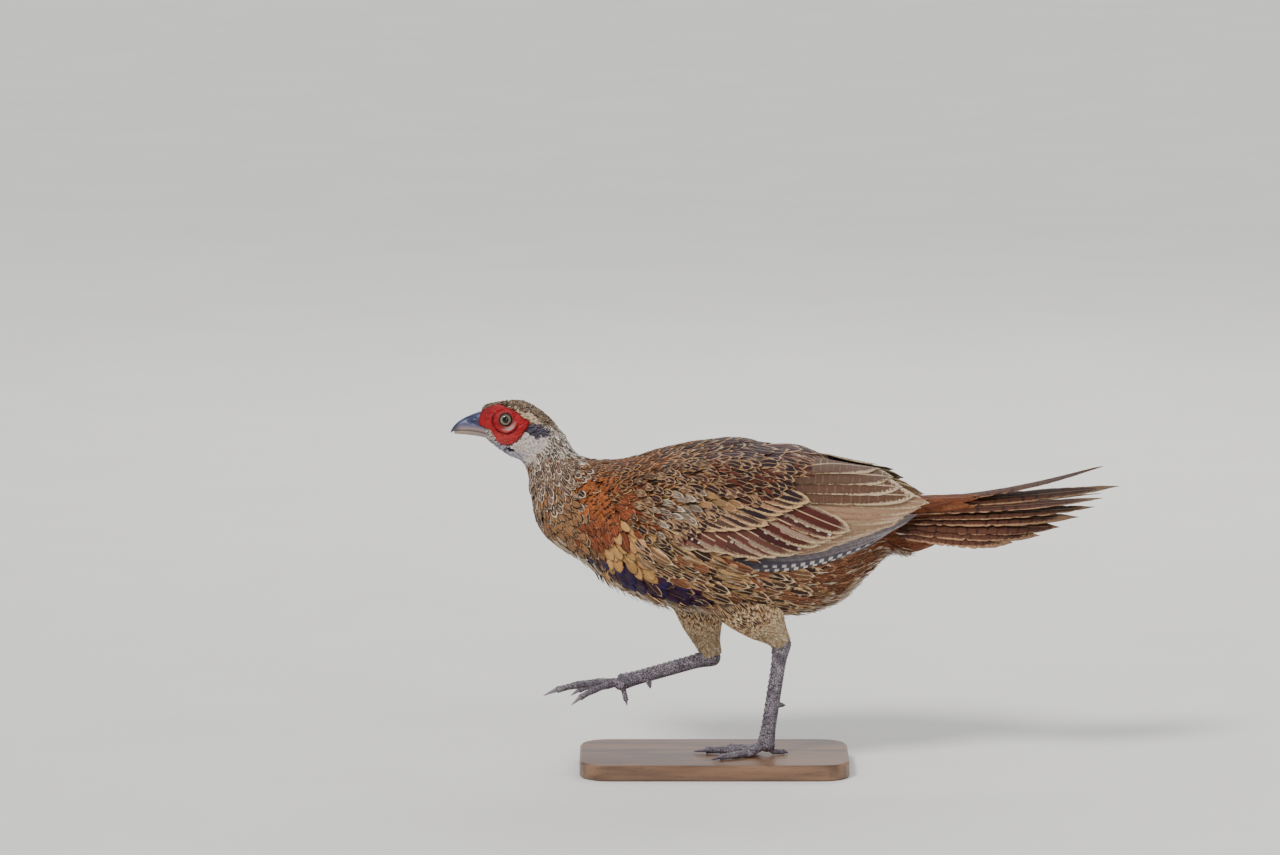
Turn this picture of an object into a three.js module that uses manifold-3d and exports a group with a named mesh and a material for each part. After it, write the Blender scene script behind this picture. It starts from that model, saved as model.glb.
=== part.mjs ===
// A young male common pheasant in moult, walking with one foot raised, life size, on a plain base.
// Millimetres, +Z up. The bird faces -X and its left side faces -Y. The origin is the middle of
// the underside of the base.
import * as THREE from "three";
import { mergeVertices } from "three/addons/utils/BufferGeometryUtils.js";
import Module from "manifold-3d";

const wasm = await Module();
wasm.setup();

// Driving sizes
const GAP = 0.35; // between neighbouring pieces
const BASE = { length: 200, width: 110, height: 12, corner: 20, bevel: 1.5, shift: -4 };
const EYE = { x: -158.4, z: 251.6, radius: 6.2, reach: 15.2, opening: 4.9 };
const LEFT = -1;
const RIGHT = 1;

// The body from the face to the tail root, as rings across a bent axis. x and z place the ring's
// centre above the base, lean tips its axis down toward the tail, in degrees, and up, down and
// half are its reach above, below and to each side.
const BODY = [
  { x: -176.1, z: 249.4, lean: 0, up: 10.5, down: 10.2, half: 7 },
  { x: -164.3, z: 247.2, lean: 5, up: 15.8, down: 17.0, half: 12 },
  { x: -150.2, z: 244.2, lean: 15, up: 19.6, down: 21.4, half: 14.8 },
  { x: -136.2, z: 236.8, lean: 35, up: 17.4, down: 20.4, half: 15.8 },
  { x: -127.3, z: 224.2, lean: 48, up: 16.8, down: 19.0, half: 16.4 },
  { x: -119.9, z: 209.4, lean: 50, up: 19.6, down: 25.0, half: 21 },
  { x: -107.3, z: 192.4, lean: 42, up: 34.6, down: 35.0, half: 32 },
  { x: -85.1, z: 180.6, lean: 28, up: 44.6, down: 38.2, half: 42 },
  { x: -55.5, z: 173.9, lean: 15, up: 54.6, down: 52.6, half: 49 },
  { x: -18.5, z: 170.2, lean: 5, up: 62.2, down: 61.6, half: 53 },
  { x: 18.5, z: 170.2, lean: 0, up: 63.6, down: 65.0, half: 53 },
  { x: 51.8, z: 171.7, lean: -3, up: 50.0, down: 64.6, half: 47 },
  { x: 81.4, z: 173.9, lean: -5, up: 33.0, down: 57.0, half: 37 },
  { x: 102.0, z: 176.0, lean: -7, up: 22.5, down: 39.0, half: 27 },
  { x: 120.0, z: 178.3, lean: -8, up: 15.0, down: 21.0, half: 16 },
];
const FACE = 0;
const NECK_TOP = 3.6;
const NECK_BASE = 5.4;
const RUMP_END = BODY.length - 1;

// The folded wing lies on its own hull, a little outside the body and reaching past the rump.
const WING_HULL = [
  { x: -92, z: 178, up: 42, half: 42 },
  { x: -55, z: 172, up: 56, half: 54 },
  { x: -18, z: 169, up: 65, half: 60 },
  { x: 18, z: 169, up: 67, half: 61 },
  { x: 52, z: 171, up: 60, half: 56 },
  { x: 82, z: 174, up: 48, half: 47 },
  { x: 106, z: 178, up: 38, half: 38 },
  { x: 128, z: 182, up: 30, half: 29 },
  { x: 152, z: 185, up: 24, half: 21 },
];

const VANE_THICKNESS = 0.6;
const COLOURS = {
  crown: 0x8a6a4a, bill: 0x5b5f78, wattle: 0xb3262a, eye: 0x1a120c, plumage: 0x9c7350,
  wing: 0xa58a6c, tail: 0x7d5236, thigh: 0xb59a78, leg: 0x7d7078, claw: 0x4a4248, base: 0x6b4f38,
};

const degrees = (angle) => (angle * Math.PI) / 180;
const mix = (a, b, t) => a + (b - a) * t;

// A row of named sizes between the stations of a table, at a fractional station number.
function between(table, at) {
  const last = table.length - 1;
  const i = Math.min(Math.max(Math.floor(at), 0), last - 1);
  const t = at - i;
  const [before, here, next, after] = [i - 1, i, i + 1, i + 2].map(
    (n) => table[Math.min(Math.max(n, 0), last)],
  );
  const row = {};
  for (const key of Object.keys(here)) {
    const [p, a, b, n] = [before[key], here[key], next[key], after[key]];
    row[key] =
      a + 0.5 * t * (b - p + t * (2 * p - 5 * a + 4 * b - n + t * (3 * (a - b) + n - p)));
  }
  return row;
}

// The station number at which a table reaches x.
function stationAt(table, x) {
  const i = table.findIndex((row) => row.x > x);
  if (i < 0) return table.length - 1;
  if (i === 0) return 0;
  return i - 1 + (x - table[i - 1].x) / (table[i].x - table[i - 1].x);
}

// A point of the body's surface. The angle runs from the back, 0, over a side to the belly, 180.
function onBody(at, angle, side, extra = 0) {
  const ring = between(BODY, at);
  const [lean, turn] = [degrees(ring.lean), degrees(angle)];
  const rise = Math.cos(turn) * ((Math.cos(turn) > 0 ? ring.up : ring.down) + extra);
  return new THREE.Vector3(
    ring.x + rise * Math.sin(lean),
    side * Math.sin(turn) * (ring.half + extra),
    ring.z + rise * Math.cos(lean),
  );
}

// A point of the wing's hull, from its place in the side view.
function onWing(x, z, side) {
  const ring = between(WING_HULL, stationAt(WING_HULL, x));
  const height = Math.min(Math.max((z - ring.z) / ring.up, -0.97), 0.97);
  return new THREE.Vector3(x, side * ring.half * Math.sqrt(1 - height * height), z);
}

// The outward normal of a surface given by two numbers.
function normalOn(surface, a, b, side, step) {
  const [da, db] = step;
  const along = surface(a + da, b, side).sub(surface(a - da, b, side));
  const across = surface(a, b + db, side).sub(surface(a, b - db, side));
  const normal = along.cross(across).normalize();
  return normal.y * side < 0 || (normal.y === 0 && normal.z < 0) ? normal.negate() : normal;
}

// Solids

function toSolid(geometry) {
  const bare = geometry.clone();
  bare.deleteAttribute("normal");
  bare.deleteAttribute("uv");
  const merged = mergeVertices(bare, 1e-4);
  return new wasm.Manifold(
    new wasm.Mesh({
      numProp: 3,
      vertProperties: new Float32Array(merged.attributes.position.array),
      triVerts: new Uint32Array(merged.index.array),
    }),
  );
}

function toGeometry(solid) {
  const mesh = solid.getMesh();
  const points = new Float32Array(mesh.numVert * 3);
  for (let i = 0; i < mesh.numVert; i++) {
    const start = i * mesh.numProp;
    points.set(mesh.vertProperties.subarray(start, start + 3), i * 3);
  }
  const geometry = new THREE.BufferGeometry();
  geometry.setAttribute("position", new THREE.BufferAttribute(points, 3));
  geometry.setIndex(new THREE.BufferAttribute(new Uint32Array(mesh.triVerts), 1));
  const flat = geometry.toNonIndexed();
  flat.computeVertexNormals();
  return flat;
}

const join = (solids) => wasm.Manifold.union(solids);

// The largest closed surface of a solid.
const largest = (solid) =>
  solid.decompose().reduce((best, piece) => (piece.volume() > best.volume() ? piece : best));

// A solid from points and triangles, turned inside out if its faces point inwards.
function closed(points, triangles) {
  const geometry = new THREE.BufferGeometry();
  const places = points.flatMap((p) => [p.x, p.y, p.z]);
  geometry.setAttribute("position", new THREE.Float32BufferAttribute(places, 3));
  geometry.setIndex(triangles);
  const solid = toSolid(geometry);
  if (solid.volume() > 0) return solid;
  for (let i = 0; i < triangles.length; i += 3) {
    [triangles[i + 1], triangles[i + 2]] = [triangles[i + 2], triangles[i + 1]];
  }
  geometry.setIndex(triangles);
  return toSolid(geometry);
}

// A closed skin over rings of the same number of points, with fanned ends.
function loft(rings) {
  const size = rings[0].length;
  const points = rings.flat();
  const triangles = [];
  for (let i = 0; i + 1 < rings.length; i++) {
    for (let j = 0; j < size; j++) {
      const [a, b] = [i * size + j, i * size + ((j + 1) % size)];
      const [c, d] = [a + size, b + size];
      triangles.push(a, b, d, a, d, c);
    }
  }
  const cap = (ring, flip) => {
    const centre = new THREE.Vector3();
    rings[ring].forEach((point) => centre.add(point));
    points.push(centre.divideScalar(size));
    for (let j = 0; j < size; j++) {
      const [a, b] = [ring * size + j, ring * size + ((j + 1) % size)];
      triangles.push(...(flip ? [b, a, points.length - 1] : [a, b, points.length - 1]));
    }
  };
  cap(0, true);
  cap(rings.length - 1, false);
  return closed(points, triangles);
}

// The body between two stations, grown by extra all round.
function bodyPiece(from, to, { rings, around, extra = 0 }) {
  const made = [];
  for (let i = 0; i <= rings; i++) {
    const ring = [];
    for (let j = 0; j < around; j++) {
      const turn = (j / around) * 360;
      const [angle, side] = turn <= 180 ? [turn, RIGHT] : [360 - turn, LEFT];
      ring.push(onBody(mix(from, to, i / rings), angle, side, extra));
    }
    made.push(ring);
  }
  return loft(made);
}

// A tapered limb along a list of joints, each with a place and the reach fore and aft and to the
// sides, as an oval tube whose rings follow the limb.
function limb(joints, around, lateral = new THREE.Vector3(0, 1, 0)) {
  const places = joints.map((joint) => new THREE.Vector3(...joint.at));
  const rings = joints.map((joint, i) => {
    const ahead = places[Math.min(i + 1, places.length - 1)];
    const behind = places[Math.max(i - 1, 0)];
    const along = ahead.clone().sub(behind).normalize();
    const fore = new THREE.Vector3().crossVectors(lateral, along).normalize();
    const across = new THREE.Vector3().crossVectors(along, fore).normalize();
    return Array.from({ length: around }, (_, j) => {
      const turn = (j / around) * 2 * Math.PI;
      const reach = Math.cos(turn) > 0 ? joint.front ?? joint.deep : joint.deep;
      return places[i]
        .clone()
        .addScaledVector(fore, Math.cos(turn) * reach)
        .addScaledVector(across, Math.sin(turn) * joint.wide);
    });
  });
  return loft(rings);
}

// Feathers

// Half width of a vane, as a share of the full half width, at each row of points.
const OUTLINES = {
  covert: [[0, 0.5], [0.45, 0.95], [0.86, 0.8], [1, 0.28]],
  flight: [[0, 0.45], [0.28, 0.9], [0.7, 1], [0.93, 0.66], [1, 0.24]],
  tail: [[0, 0.5], [0.2, 0.86], [0.5, 1], [0.78, 0.78], [0.94, 0.42], [1, 0.14]],
};

// A thin closed vane along a path. The path gives a point, the outward normal and the roll about
// its own line for each share of its length. Both faces are split alike.
function vane(path, { width, outline, camber = 0.3, columns = 2 }) {
  const rows = OUTLINES[outline];
  const step = 0.02;
  const [top, bottom] = [[], []];
  for (const [t, share] of rows) {
    const { point, normal, roll } = path(t);
    const ahead = path(Math.min(t + step, 1)).point;
    const behind = path(Math.max(t - step, 0)).point;
    const along = ahead.sub(behind).normalize();
    const face = normal.clone().addScaledVector(along, -normal.dot(along)).normalize();
    face.applyAxisAngle(along, degrees(roll));
    const across = new THREE.Vector3().crossVectors(face, along).normalize();
    for (let column = 0; column < columns; column++) {
      const u = mix(-1, 1, column / (columns - 1));
      const place = point
        .clone()
        .addScaledVector(across, (u * share * width) / 2)
        .addScaledVector(face, -camber * u * u * share);
      top.push(place);
      bottom.push(place.clone().addScaledVector(face, -VANE_THICKNESS));
    }
  }
  const points = [...top, ...bottom];
  const under = top.length;
  const triangles = [];
  const quad = (a, b, c, d) => triangles.push(a, b, c, a, c, d);
  for (let row = 0; row + 1 < rows.length; row++) {
    for (let column = 0; column + 1 < columns; column++) {
      const a = row * columns + column;
      const [b, c, d] = [a + 1, a + columns + 1, a + columns];
      triangles.push(a, b, c, a, c, d);
      triangles.push(under + a, under + c, under + b, under + a, under + d, under + c);
    }
    const [left, right] = [row * columns, row * columns + columns - 1];
    quad(left, left + columns, under + left + columns, under + left);
    quad(right, under + right, under + right + columns, right + columns);
  }
  const last = (rows.length - 1) * columns;
  for (let column = 0; column + 1 < columns; column++) {
    quad(column, under + column, under + column + 1, column + 1);
    quad(last + column, last + column + 1, under + last + column + 1, under + last + column);
  }
  return closed(points, triangles);
}

// A path over the wing's hull from a root to a tip, each a place in the side view. The path bows
// up by bow, starts sunk in the wing's flesh and soon stands off the hull by lift.
function wingPath(side, { root, tip, bow = 0, lift, roll = 0 }) {
  const length = Math.hypot(tip[0] - root[0], tip[1] - root[1]);
  return (t) => {
    const x = mix(root[0], tip[0], t);
    const z = mix(root[1], tip[1], t) + bow * 4 * t * (1 - t);
    const normal = normalOn(onWing, x, z, side, [1, 0.5]);
    const rise = mix(-WING_FLESH.sunk, lift, Math.min(1, (t * length) / WING_FLESH.rise));
    return { point: onWing(x, z, side).addScaledVector(normal, rise), normal, roll: roll * side };
  };
}

// A seeded draw between -1 and 1.
function draws(seed) {
  let state = seed;
  return () => {
    state = (state * 16807) % 2147483647;
    return (state / 2147483647) * 2 - 1;
  };
}

// Head

const headGrown = (extra) => bodyPiece(FACE, NECK_TOP, { rings: 11, around: 20, extra });

function eyeBall(side, extra = 0) {
  const ball = new THREE.SphereGeometry(EYE.radius + extra, 12, 8);
  ball.translate(EYE.x, side * (EYE.reach - EYE.radius), EYE.z);
  return toSolid(ball);
}

// The bare red skin of the face, outlined in the side view from the bill back past the eye, with
// a lobe that hangs over the cheek.
function wattleOutline() {
  const shape = new THREE.Shape();
  shape.moveTo(-178.2, 246.5);
  shape.bezierCurveTo(-178, 253.5, -176, 260, -169, 260.6);
  shape.lineTo(-158, 259.4);
  shape.bezierCurveTo(-152, 258.5, -146, 253, -140.6, 249.6);
  shape.bezierCurveTo(-142.5, 246, -145.5, 241.5, -148, 238.5);
  shape.bezierCurveTo(-151, 234, -158, 231, -163.4, 232.6);
  shape.bezierCurveTo(-166.4, 234.5, -168, 239.5, -169.4, 243.4);
  shape.bezierCurveTo(-172, 244.4, -176, 244.4, -178.2, 246.5);
  return shape;
}

function wattle(side) {
  const depth = 30;
  const prism = new THREE.ExtrudeGeometry(wattleOutline(), {
    depth, bevelEnabled: false, curveSegments: 3,
  });
  prism.rotateX(Math.PI / 2);
  prism.translate(0, side > 0 ? depth + 2 : -2, 0);
  const swell = [
    { x: -157.5, z: 237.5, long: 7.5, tall: 5 },
    { x: -171.5, z: 250, long: 5, tall: 6.5 },
    { x: -150, z: 245, long: 6, tall: 4 },
  ].map(({ x, z, long, tall }) => {
    const bulb = new THREE.SphereGeometry(1, 8, 5);
    bulb.scale(long, 3.4, tall);
    const cheek = cheekAt(x, z, side);
    bulb.translate(x, cheek, z);
    return toSolid(bulb);
  });
  const skin = toSolid(prism).intersect(headGrown(1.5));
  const lid = new THREE.TorusGeometry(EYE.opening + 0.9, 1.1, 5, 14);
  lid.rotateX(Math.PI / 2);
  lid.translate(EYE.x, side * (EYE.reach - 1.4), EYE.z);
  const fold = toSolid(lid);
  const bare = toSolid(prism);
  return largest(
    join([skin, ...swell.map((bulb) => bulb.intersect(bare)), fold])
      .subtract(headGrown(GAP))
      .subtract(browRidge(side, GAP))
      .subtract(earTuft(side, GAP))
      .subtract(eyeBall(side, GAP))
      .subtract(billSolid(GAP)),
  );
}

// How far out the side of the head lies at a place in the side view.
function cheekAt(x, z, side) {
  let best = { miss: Infinity, y: 0 };
  for (let at = 0.2; at < NECK_TOP; at += 0.1) {
    for (let angle = 10; angle < 170; angle += 5) {
      const point = onBody(at, angle, side);
      const miss = Math.hypot(point.x - x, point.z - z);
      if (miss < best.miss) best = { miss, y: point.y };
    }
  }
  return best.y;
}

// Bill

const BILL = {
  stations: [
    { x: -174, ridge: 256.4, mouth: 246.2, keel: 239.2, half: 6.6 },
    { x: -180, ridge: 254.6, mouth: 245.4, keel: 239.8, half: 5.4 },
    { x: -187, ridge: 251.2, mouth: 244.0, keel: 239.9, half: 4.2 },
    { x: -193, ridge: 247.0, mouth: 242.0, keel: 239.2, half: 3.0 },
    { x: -197, ridge: 243.0, mouth: 239.8, keel: 238.4, half: 1.8 },
    { x: -199.4, ridge: 239.4, mouth: 237.6, keel: 237.9, half: 0.8 },
  ],
  lowerReach: 3.9,
};

// One half of the bill: an arch over the mouth line, or a keel below it.
function mandible(upper, extra = 0) {
  const stations = upper ? BILL.stations.length - 1 : BILL.lowerReach;
  const first = extra > 0 ? -0.14 : 0;
  const rings = [];
  const count = 9;
  const around = 10;
  for (let i = 0; i <= count; i++) {
    const row = between(BILL.stations, mix(first, stations, i / count));
    const height = (upper ? row.ridge - row.mouth : row.mouth - row.keel) + 2 * extra;
    const ring = [];
    for (let j = 0; j < around; j++) {
      const turn = (j / (around - 1)) * Math.PI;
      const rise = Math.sin(turn) ** 0.8 * height;
      ring.push(
        new THREE.Vector3(
          row.x,
          Math.cos(turn) * (row.half + extra) * (upper ? 1 : 0.86),
          row.mouth + (upper ? rise : -rise - GAP) + (upper ? -extra : extra),
        ),
      );
    }
    rings.push(ring);
  }
  return loft(rings);
}

const billSolid = (extra) => join([mandible(true, extra), mandible(false, extra)]);

function billUpper() {
  const parts = [mandible(true)];
  const slits = [];
  for (const side of [LEFT, RIGHT]) {
    const cover = new THREE.SphereGeometry(1, 8, 6);
    cover.scale(3.8, 1.5, 2.0);
    cover.rotateY(degrees(-24));
    cover.translate(-183.4, side * 3.9, 250.3);
    parts.push(toSolid(cover));
    const slit = new THREE.SphereGeometry(1, 7, 4);
    slit.scale(2.6, 1.4, 0.75);
    slit.rotateY(degrees(-20));
    slit.translate(-184.6, side * 5.3, 248.4);
    slits.push(toSolid(slit));
  }
  return largest(join(parts).subtract(join(slits)));
}

// A rounded swelling of the head, turned in the side view.
function swelling(size, place, side, turn, extra) {
  const ball = new THREE.SphereGeometry(1, 9, 6);
  ball.scale(...size.map((reach) => reach + extra));
  ball.rotateY(degrees(turn));
  ball.translate(place[0], side * place[1], place[2]);
  return toSolid(ball);
}

const browRidge = (side, extra = 0) => swelling([10, 2.4, 2.6], [-153, 8.6, 258.4], side, 8, extra);
const earTuft = (side, extra = 0) => swelling([7.5, 1.9, 3.8], [-138.5, 14, 243], side, -18, extra);

function head() {
  const sides = [LEFT, RIGHT];
  return largest(
    join([headGrown(0), ...sides.map((side) => browRidge(side)), ...sides.map((side) => earTuft(side))])
      .subtract(join(sides.map((side) => eyeBall(side, GAP))))
      .subtract(billSolid(GAP)),
  );
}

// Wings

// The flesh and feather bases of a wing: its outer face lies this far inside the hull, vanes start
// sunk below the hull and reach their own height after a rise of this length.
const WING_FLESH = {
  skin: 0.6, sunk: 2, rise: 24,
  stations: [
    { x: -70, top: 206, bottom: 186, thin: 5, thick: 7 },
    { x: -60, top: 212, bottom: 172, thin: 1.4, thick: 12 },
    { x: -40, top: 217, bottom: 161, thin: 0.6, thick: 14 },
    { x: -12, top: 220, bottom: 154, thin: 0.6, thick: 14 },
    { x: 14, top: 221, bottom: 149, thin: 0.6, thick: 14 },
    { x: 36, top: 218, bottom: 151, thin: 0.6, thick: 12 },
    { x: 54, top: 213, bottom: 163, thin: 0.7, thick: 7 },
    { x: 68, top: 208, bottom: 180, thin: 1.4, thick: 3.6 },
  ],
};

function wingFlesh(side) {
  const [rings, rows] = [14, 5];
  return loft(
    Array.from({ length: rings + 1 }, (_, i) => {
      const place = between(WING_FLESH.stations, (i / rings) * (WING_FLESH.stations.length - 1));
      const [outer, inner] = [[], []];
      for (let j = 0; j <= rows; j++) {
        const z = mix(place.top, place.bottom, j / rows);
        const normal = normalOn(onWing, place.x, z, side, [1, 0.5]);
        outer.push(onWing(place.x, z, side).addScaledVector(normal, -place.thin));
        inner.push(onWing(place.x, z, side).addScaledVector(normal, -place.thick));
      }
      return [...outer, ...inner.reverse()];
    }),
  );
}

// The tiers of a wing, from the innermost out. Root, tip, width and lift run evenly from the first
// feather of a tier to its last.
const WING_TIERS = [
  { name: "primaries", count: 5, root: [[30, 166], [4, 152]], tip: [[143, 182], [98, 150]],
    bow: -3, width: [13, 11], lift: [-2.4, -2.4], roll: 10, outline: "flight" },
  { name: "secondaries", count: 6, root: [[44, 203], [26, 166]], tip: [[148, 188], [92, 157]],
    bow: 0, width: [15, 12], lift: [0.4, 0.4], roll: 8, outline: "flight" },
  { name: "tertials", count: 2, root: [[34, 216], [36, 208]], tip: [[124, 205], [138, 196]],
    bow: 3, width: [14, 14], lift: [2.4, 2.4], roll: 8, outline: "flight" },
  { name: "greater coverts", count: 7, root: [[24, 198], [-44, 184]], tip: [[88, 162], [-8, 157]],
    bow: 2, width: [14, 12], lift: [3.4, 2.0], roll: 8, outline: "covert" },
  { name: "median coverts", count: 6, root: [[12, 210], [-54, 196]], tip: [[54, 186], [-22, 171]],
    bow: 1, width: [13, 12], lift: [4.4, 3.4], roll: 8, outline: "covert" },
  { name: "lesser coverts", count: 5, root: [[-14, 217], [-62, 200]], tip: [[22, 204], [-38, 184]],
    bow: 0, width: [12, 11], lift: [4.0, 3.6], roll: 8, outline: "covert" },
];

function wingTier(side, random, { count, root, tip, bow, width, lift, roll, outline }) {
  return Array.from({ length: count }, (_, i) => {
    const share = i / (count - 1);
    const place = ([first, last], jitter) => [
      mix(first[0], last[0], share) + jitter * random(),
      mix(first[1], last[1], share) + jitter * 0.3 * random(),
    ];
    const feather = { root: place(root, 0.6), tip: place(tip, 1.6), bow, roll };
    const path = wingPath(side, { ...feather, lift: mix(...lift, share) });
    return vane(path, { width: mix(...width, share), outline });
  });
}

function wing(side, torsoCut) {
  const random = draws(side > 0 ? 211 : 101);
  const vanes = WING_TIERS.flatMap((tier) => wingTier(side, random, tier));
  return largest(join([wingFlesh(side), ...vanes]).subtract(torsoCut));
}

// Tail

const TAIL = {
  stump: [
    { at: [108, 0, 174], deep: 17, wide: 14 },
    { at: [124, 0, 177], deep: 15.5, wide: 15 },
    { at: [138, 0, 178.5], deep: 13, wide: 13.5 },
    { at: [150, 0, 179.5], deep: 8, wide: 9 },
  ],
  // One side's feathers from the top down, each stack clear of the other side's
  pairs: [
    { from: [122, 7.2, 183.4], to: [283, 12, 193], tilt: 14, bend: -2, width: 15 },
    { from: [122, 7.7, 181.1], to: [277, 16, 187], tilt: 21, bend: -2, width: 16 },
    { from: [122, 8.4, 178.8], to: [265, 20, 180], tilt: 29, bend: -1, width: 17 },
    { from: [122, 9.2, 176.5], to: [251, 23.5, 173], tilt: 37, bend: -1, width: 18 },
    { from: [122, 10, 174.2], to: [236, 26.5, 167], tilt: 45, bend: 0, width: 18 },
    { from: [122, 10.8, 171.9], to: [216, 28.5, 162], tilt: 53, bend: 0, width: 18 },
  ],
  // The two middle feathers lie one over the other, and the upper one curls up
  middle: [
    { from: [122, 0, 187.4], to: [296, 1, 200], tilt: 2, bend: -2, width: 15 },
    { from: [122, 1, 189.3], to: [284, 3, 214.5], tilt: -2, bend: -6, width: 14 },
  ],
  coverts: [
    { from: [126, 6.8, 190.5], to: [162, 9, 194], tilt: 14, width: 13 },
    { from: [114, 11, 178], to: [160, 22, 175], tilt: 80, width: 14 },
    { from: [114, 9, 166], to: [156, 14, 158], tilt: 128, width: 13 },
  ],
  undertail: { from: [112, 0, 161], to: [168, 0, 149.5], tilt: 180, width: 16 },
};

// A nearly straight vane from root to tip, each given as x, reach to its side and z, that bends up
// or down a little on its way and faces one way for all its length.
function straightVane(side, { from, to, tilt, bend = 0, width }, outline) {
  const [start, end] = [from, to].map(([x, out, z]) => new THREE.Vector3(x, side * out, z));
  const turn = degrees(tilt);
  const normal = new THREE.Vector3(0, side * Math.sin(turn), Math.cos(turn));
  const path = (t) => {
    const point = start.clone().lerp(end, t);
    point.z += bend * 4 * t * (1 - t);
    return { point, normal, roll: 0 };
  };
  return vane(path, { width, outline });
}

function tail(torsoCut) {
  const pieces = [limb(TAIL.stump, 14), straightVane(LEFT, TAIL.undertail, "covert")];
  for (const feather of TAIL.middle) pieces.push(straightVane(LEFT, feather, "tail"));
  for (const side of [LEFT, RIGHT]) {
    for (const feather of TAIL.pairs) pieces.push(straightVane(side, feather, "tail"));
    for (const feather of TAIL.coverts) pieces.push(straightVane(side, feather, "covert"));
  }
  return largest(join(pieces).subtract(torsoCut));
}

// Legs

// The standing leg is the bird's left one, and the raised leg its right one.
const LEGS = {
  left: {
    side: LEFT,
    thigh: [
      { x: 8, y: -20, z: 142, deep: 32, wide: 17 },
      { x: 18, y: -21, z: 122, deep: 27, wide: 16 },
      { x: 31, y: -21, z: 104, deep: 18, wide: 13 },
      { x: 41, y: -20, z: 92, deep: 9.5, wide: 8.5 },
      { x: 46, y: -19, z: 85, deep: 6.6, wide: 6.2 },
    ],
    hock: [46, -19, 85],
    ankle: [35, -14, 10.5],
    spur: { share: 0.62, reach: 5.5 },
    toes: [
      { name: "toe_inner", length: 42, heading: -40, drop: 0, thick: 3.3 },
      { name: "toe_middle", length: 55, heading: -9, drop: 0, thick: 3.6 },
      { name: "toe_outer", length: 48, heading: 30, drop: 0, thick: 3.3 },
      { name: "toe_hind", length: 17, heading: 200, drop: 0, thick: 2.6 },
    ],
  },
  right: {
    side: RIGHT,
    thigh: [
      { x: -16, y: 20, z: 140, deep: 28, wide: 17 },
      { x: -15, y: 21, z: 117, deep: 23, wide: 15 },
      { x: -13, y: 21.5, z: 97, deep: 16, wide: 11.5 },
      { x: -9, y: 21.5, z: 80, deep: 9.5, wide: 8.5 },
      { x: -5, y: 21, z: 69, deep: 6.8, wide: 6.4 },
    ],
    hock: [-5, 21, 68],
    ankle: [-73, 19, 49],
    spur: { share: 0.72, reach: 5.5 },
    toes: [
      { name: "toe_inner", length: 42, heading: -20, drop: 19, thick: 3.2 },
      { name: "toe_middle", length: 59, heading: 2, drop: 9, thick: 3.5 },
      { name: "toe_outer", length: 44, heading: 26, drop: 16, thick: 3.2 },
      { name: "toe_hind", length: 17, heading: 185, drop: 76, thick: 2.6 },
    ],
  },
};

function thigh(leg) {
  const count = 10;
  const joints = Array.from({ length: count + 1 }, (_, i) => {
    const { x, y, z, deep, wide } = between(leg.thigh, (i / count) * (leg.thigh.length - 1));
    return { at: [x, y, z], deep, wide };
  });
  return limb(joints, 14);
}

// The scaly shank, with a row of plates down its front and a blunt young spur behind.
function shank({ hock, ankle, spur, side }) {
  const [top, bottom] = [new THREE.Vector3(...hock), new THREE.Vector3(...ankle)];
  const plates = 13;
  const joints = [{ at: top.clone().lerp(bottom, -0.085).toArray(), deep: 4.5, wide: 3.9 }];
  for (let i = 0; i < plates; i++) {
    const raised = 0.75;
    for (const [share, step] of [[i + 0.06, 0], [i + 0.94, raised]]) {
      const t = share / plates;
      const swell = 1 + 0.42 * Math.exp(-((t / 0.12) ** 2)) + 0.16 * Math.exp(-(((t - 1) / 0.1) ** 2));
      joints.push({
        at: top.clone().lerp(bottom, t).toArray(),
        deep: 4.9 * swell,
        front: 4.4 * swell + step,
        wide: 3.9 * swell,
      });
    }
  }
  const body = limb(joints, 8);
  const along = bottom.clone().sub(top).normalize();
  const behind = new THREE.Vector3(0, 1, 0).cross(along).normalize().negate();
  const foot = top.clone().lerp(bottom, spur.share);
  const inward = new THREE.Vector3(0, -side * 0.35, 0);
  const tip = foot.clone().addScaledVector(behind.clone().add(inward).normalize(), 4 + spur.reach);
  const horn = limb(
    [
      { at: foot.toArray(), deep: 2.6, wide: 2.4 },
      { at: foot.clone().lerp(tip, 0.6).toArray(), deep: 2.0, wide: 1.9 },
      { at: tip.toArray(), deep: 0.5, wide: 0.5 },
    ],
    8,
    along,
  );
  return largest(join([body, horn]));
}

const CLAW_SHARE = 0.17;

// The direction of a toe at a share of its length: it leaves the ankle and arches to the ground.
function toePath(leg, toe) {
  const [heading, drop] = [degrees(toe.heading), degrees(toe.drop)];
  const forward = new THREE.Vector3(
    -Math.cos(heading) * Math.cos(drop), leg.side * Math.sin(heading) * Math.cos(drop),
    -Math.sin(drop),
  );
  const start = new THREE.Vector3(...leg.ankle);
  const grounded = leg.side === LEFT;
  return (t) => {
    const point = start.clone().addScaledVector(forward, toe.length * t);
    if (grounded) {
      const sole = toe.thick * mix(1, 0.62, t);
      point.z = mix(start.z - 1.5, sole, Math.min(1, Math.max(0, t) * 3.2) ** 0.7);
    }
    if (!grounded) point.z += 3 * Math.sin(Math.PI * Math.min(1, t)) * (toe.drop < 60 ? 1 : 0);
    return point;
  };
}

function toe(leg, spec) {
  const path = toePath(leg, spec);
  const plates = spec.length > 30 ? 6 : 3;
  const joints = [{ at: path(-0.03).toArray(), deep: spec.thick, wide: spec.thick }];
  for (let i = 0; i < plates; i++) {
    for (const [share, step] of [[i + 0.08, 0], [i + 0.92, 0.6]]) {
      const t = (share / plates) * (1 - CLAW_SHARE);
      const size = spec.thick * mix(1, 0.62, t);
      joints.push({ at: path(t).toArray(), deep: size, front: size, wide: size * 0.95 + step * 0.5 });
    }
  }
  return limb(joints, 6, sideways(leg, spec));
}

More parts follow.
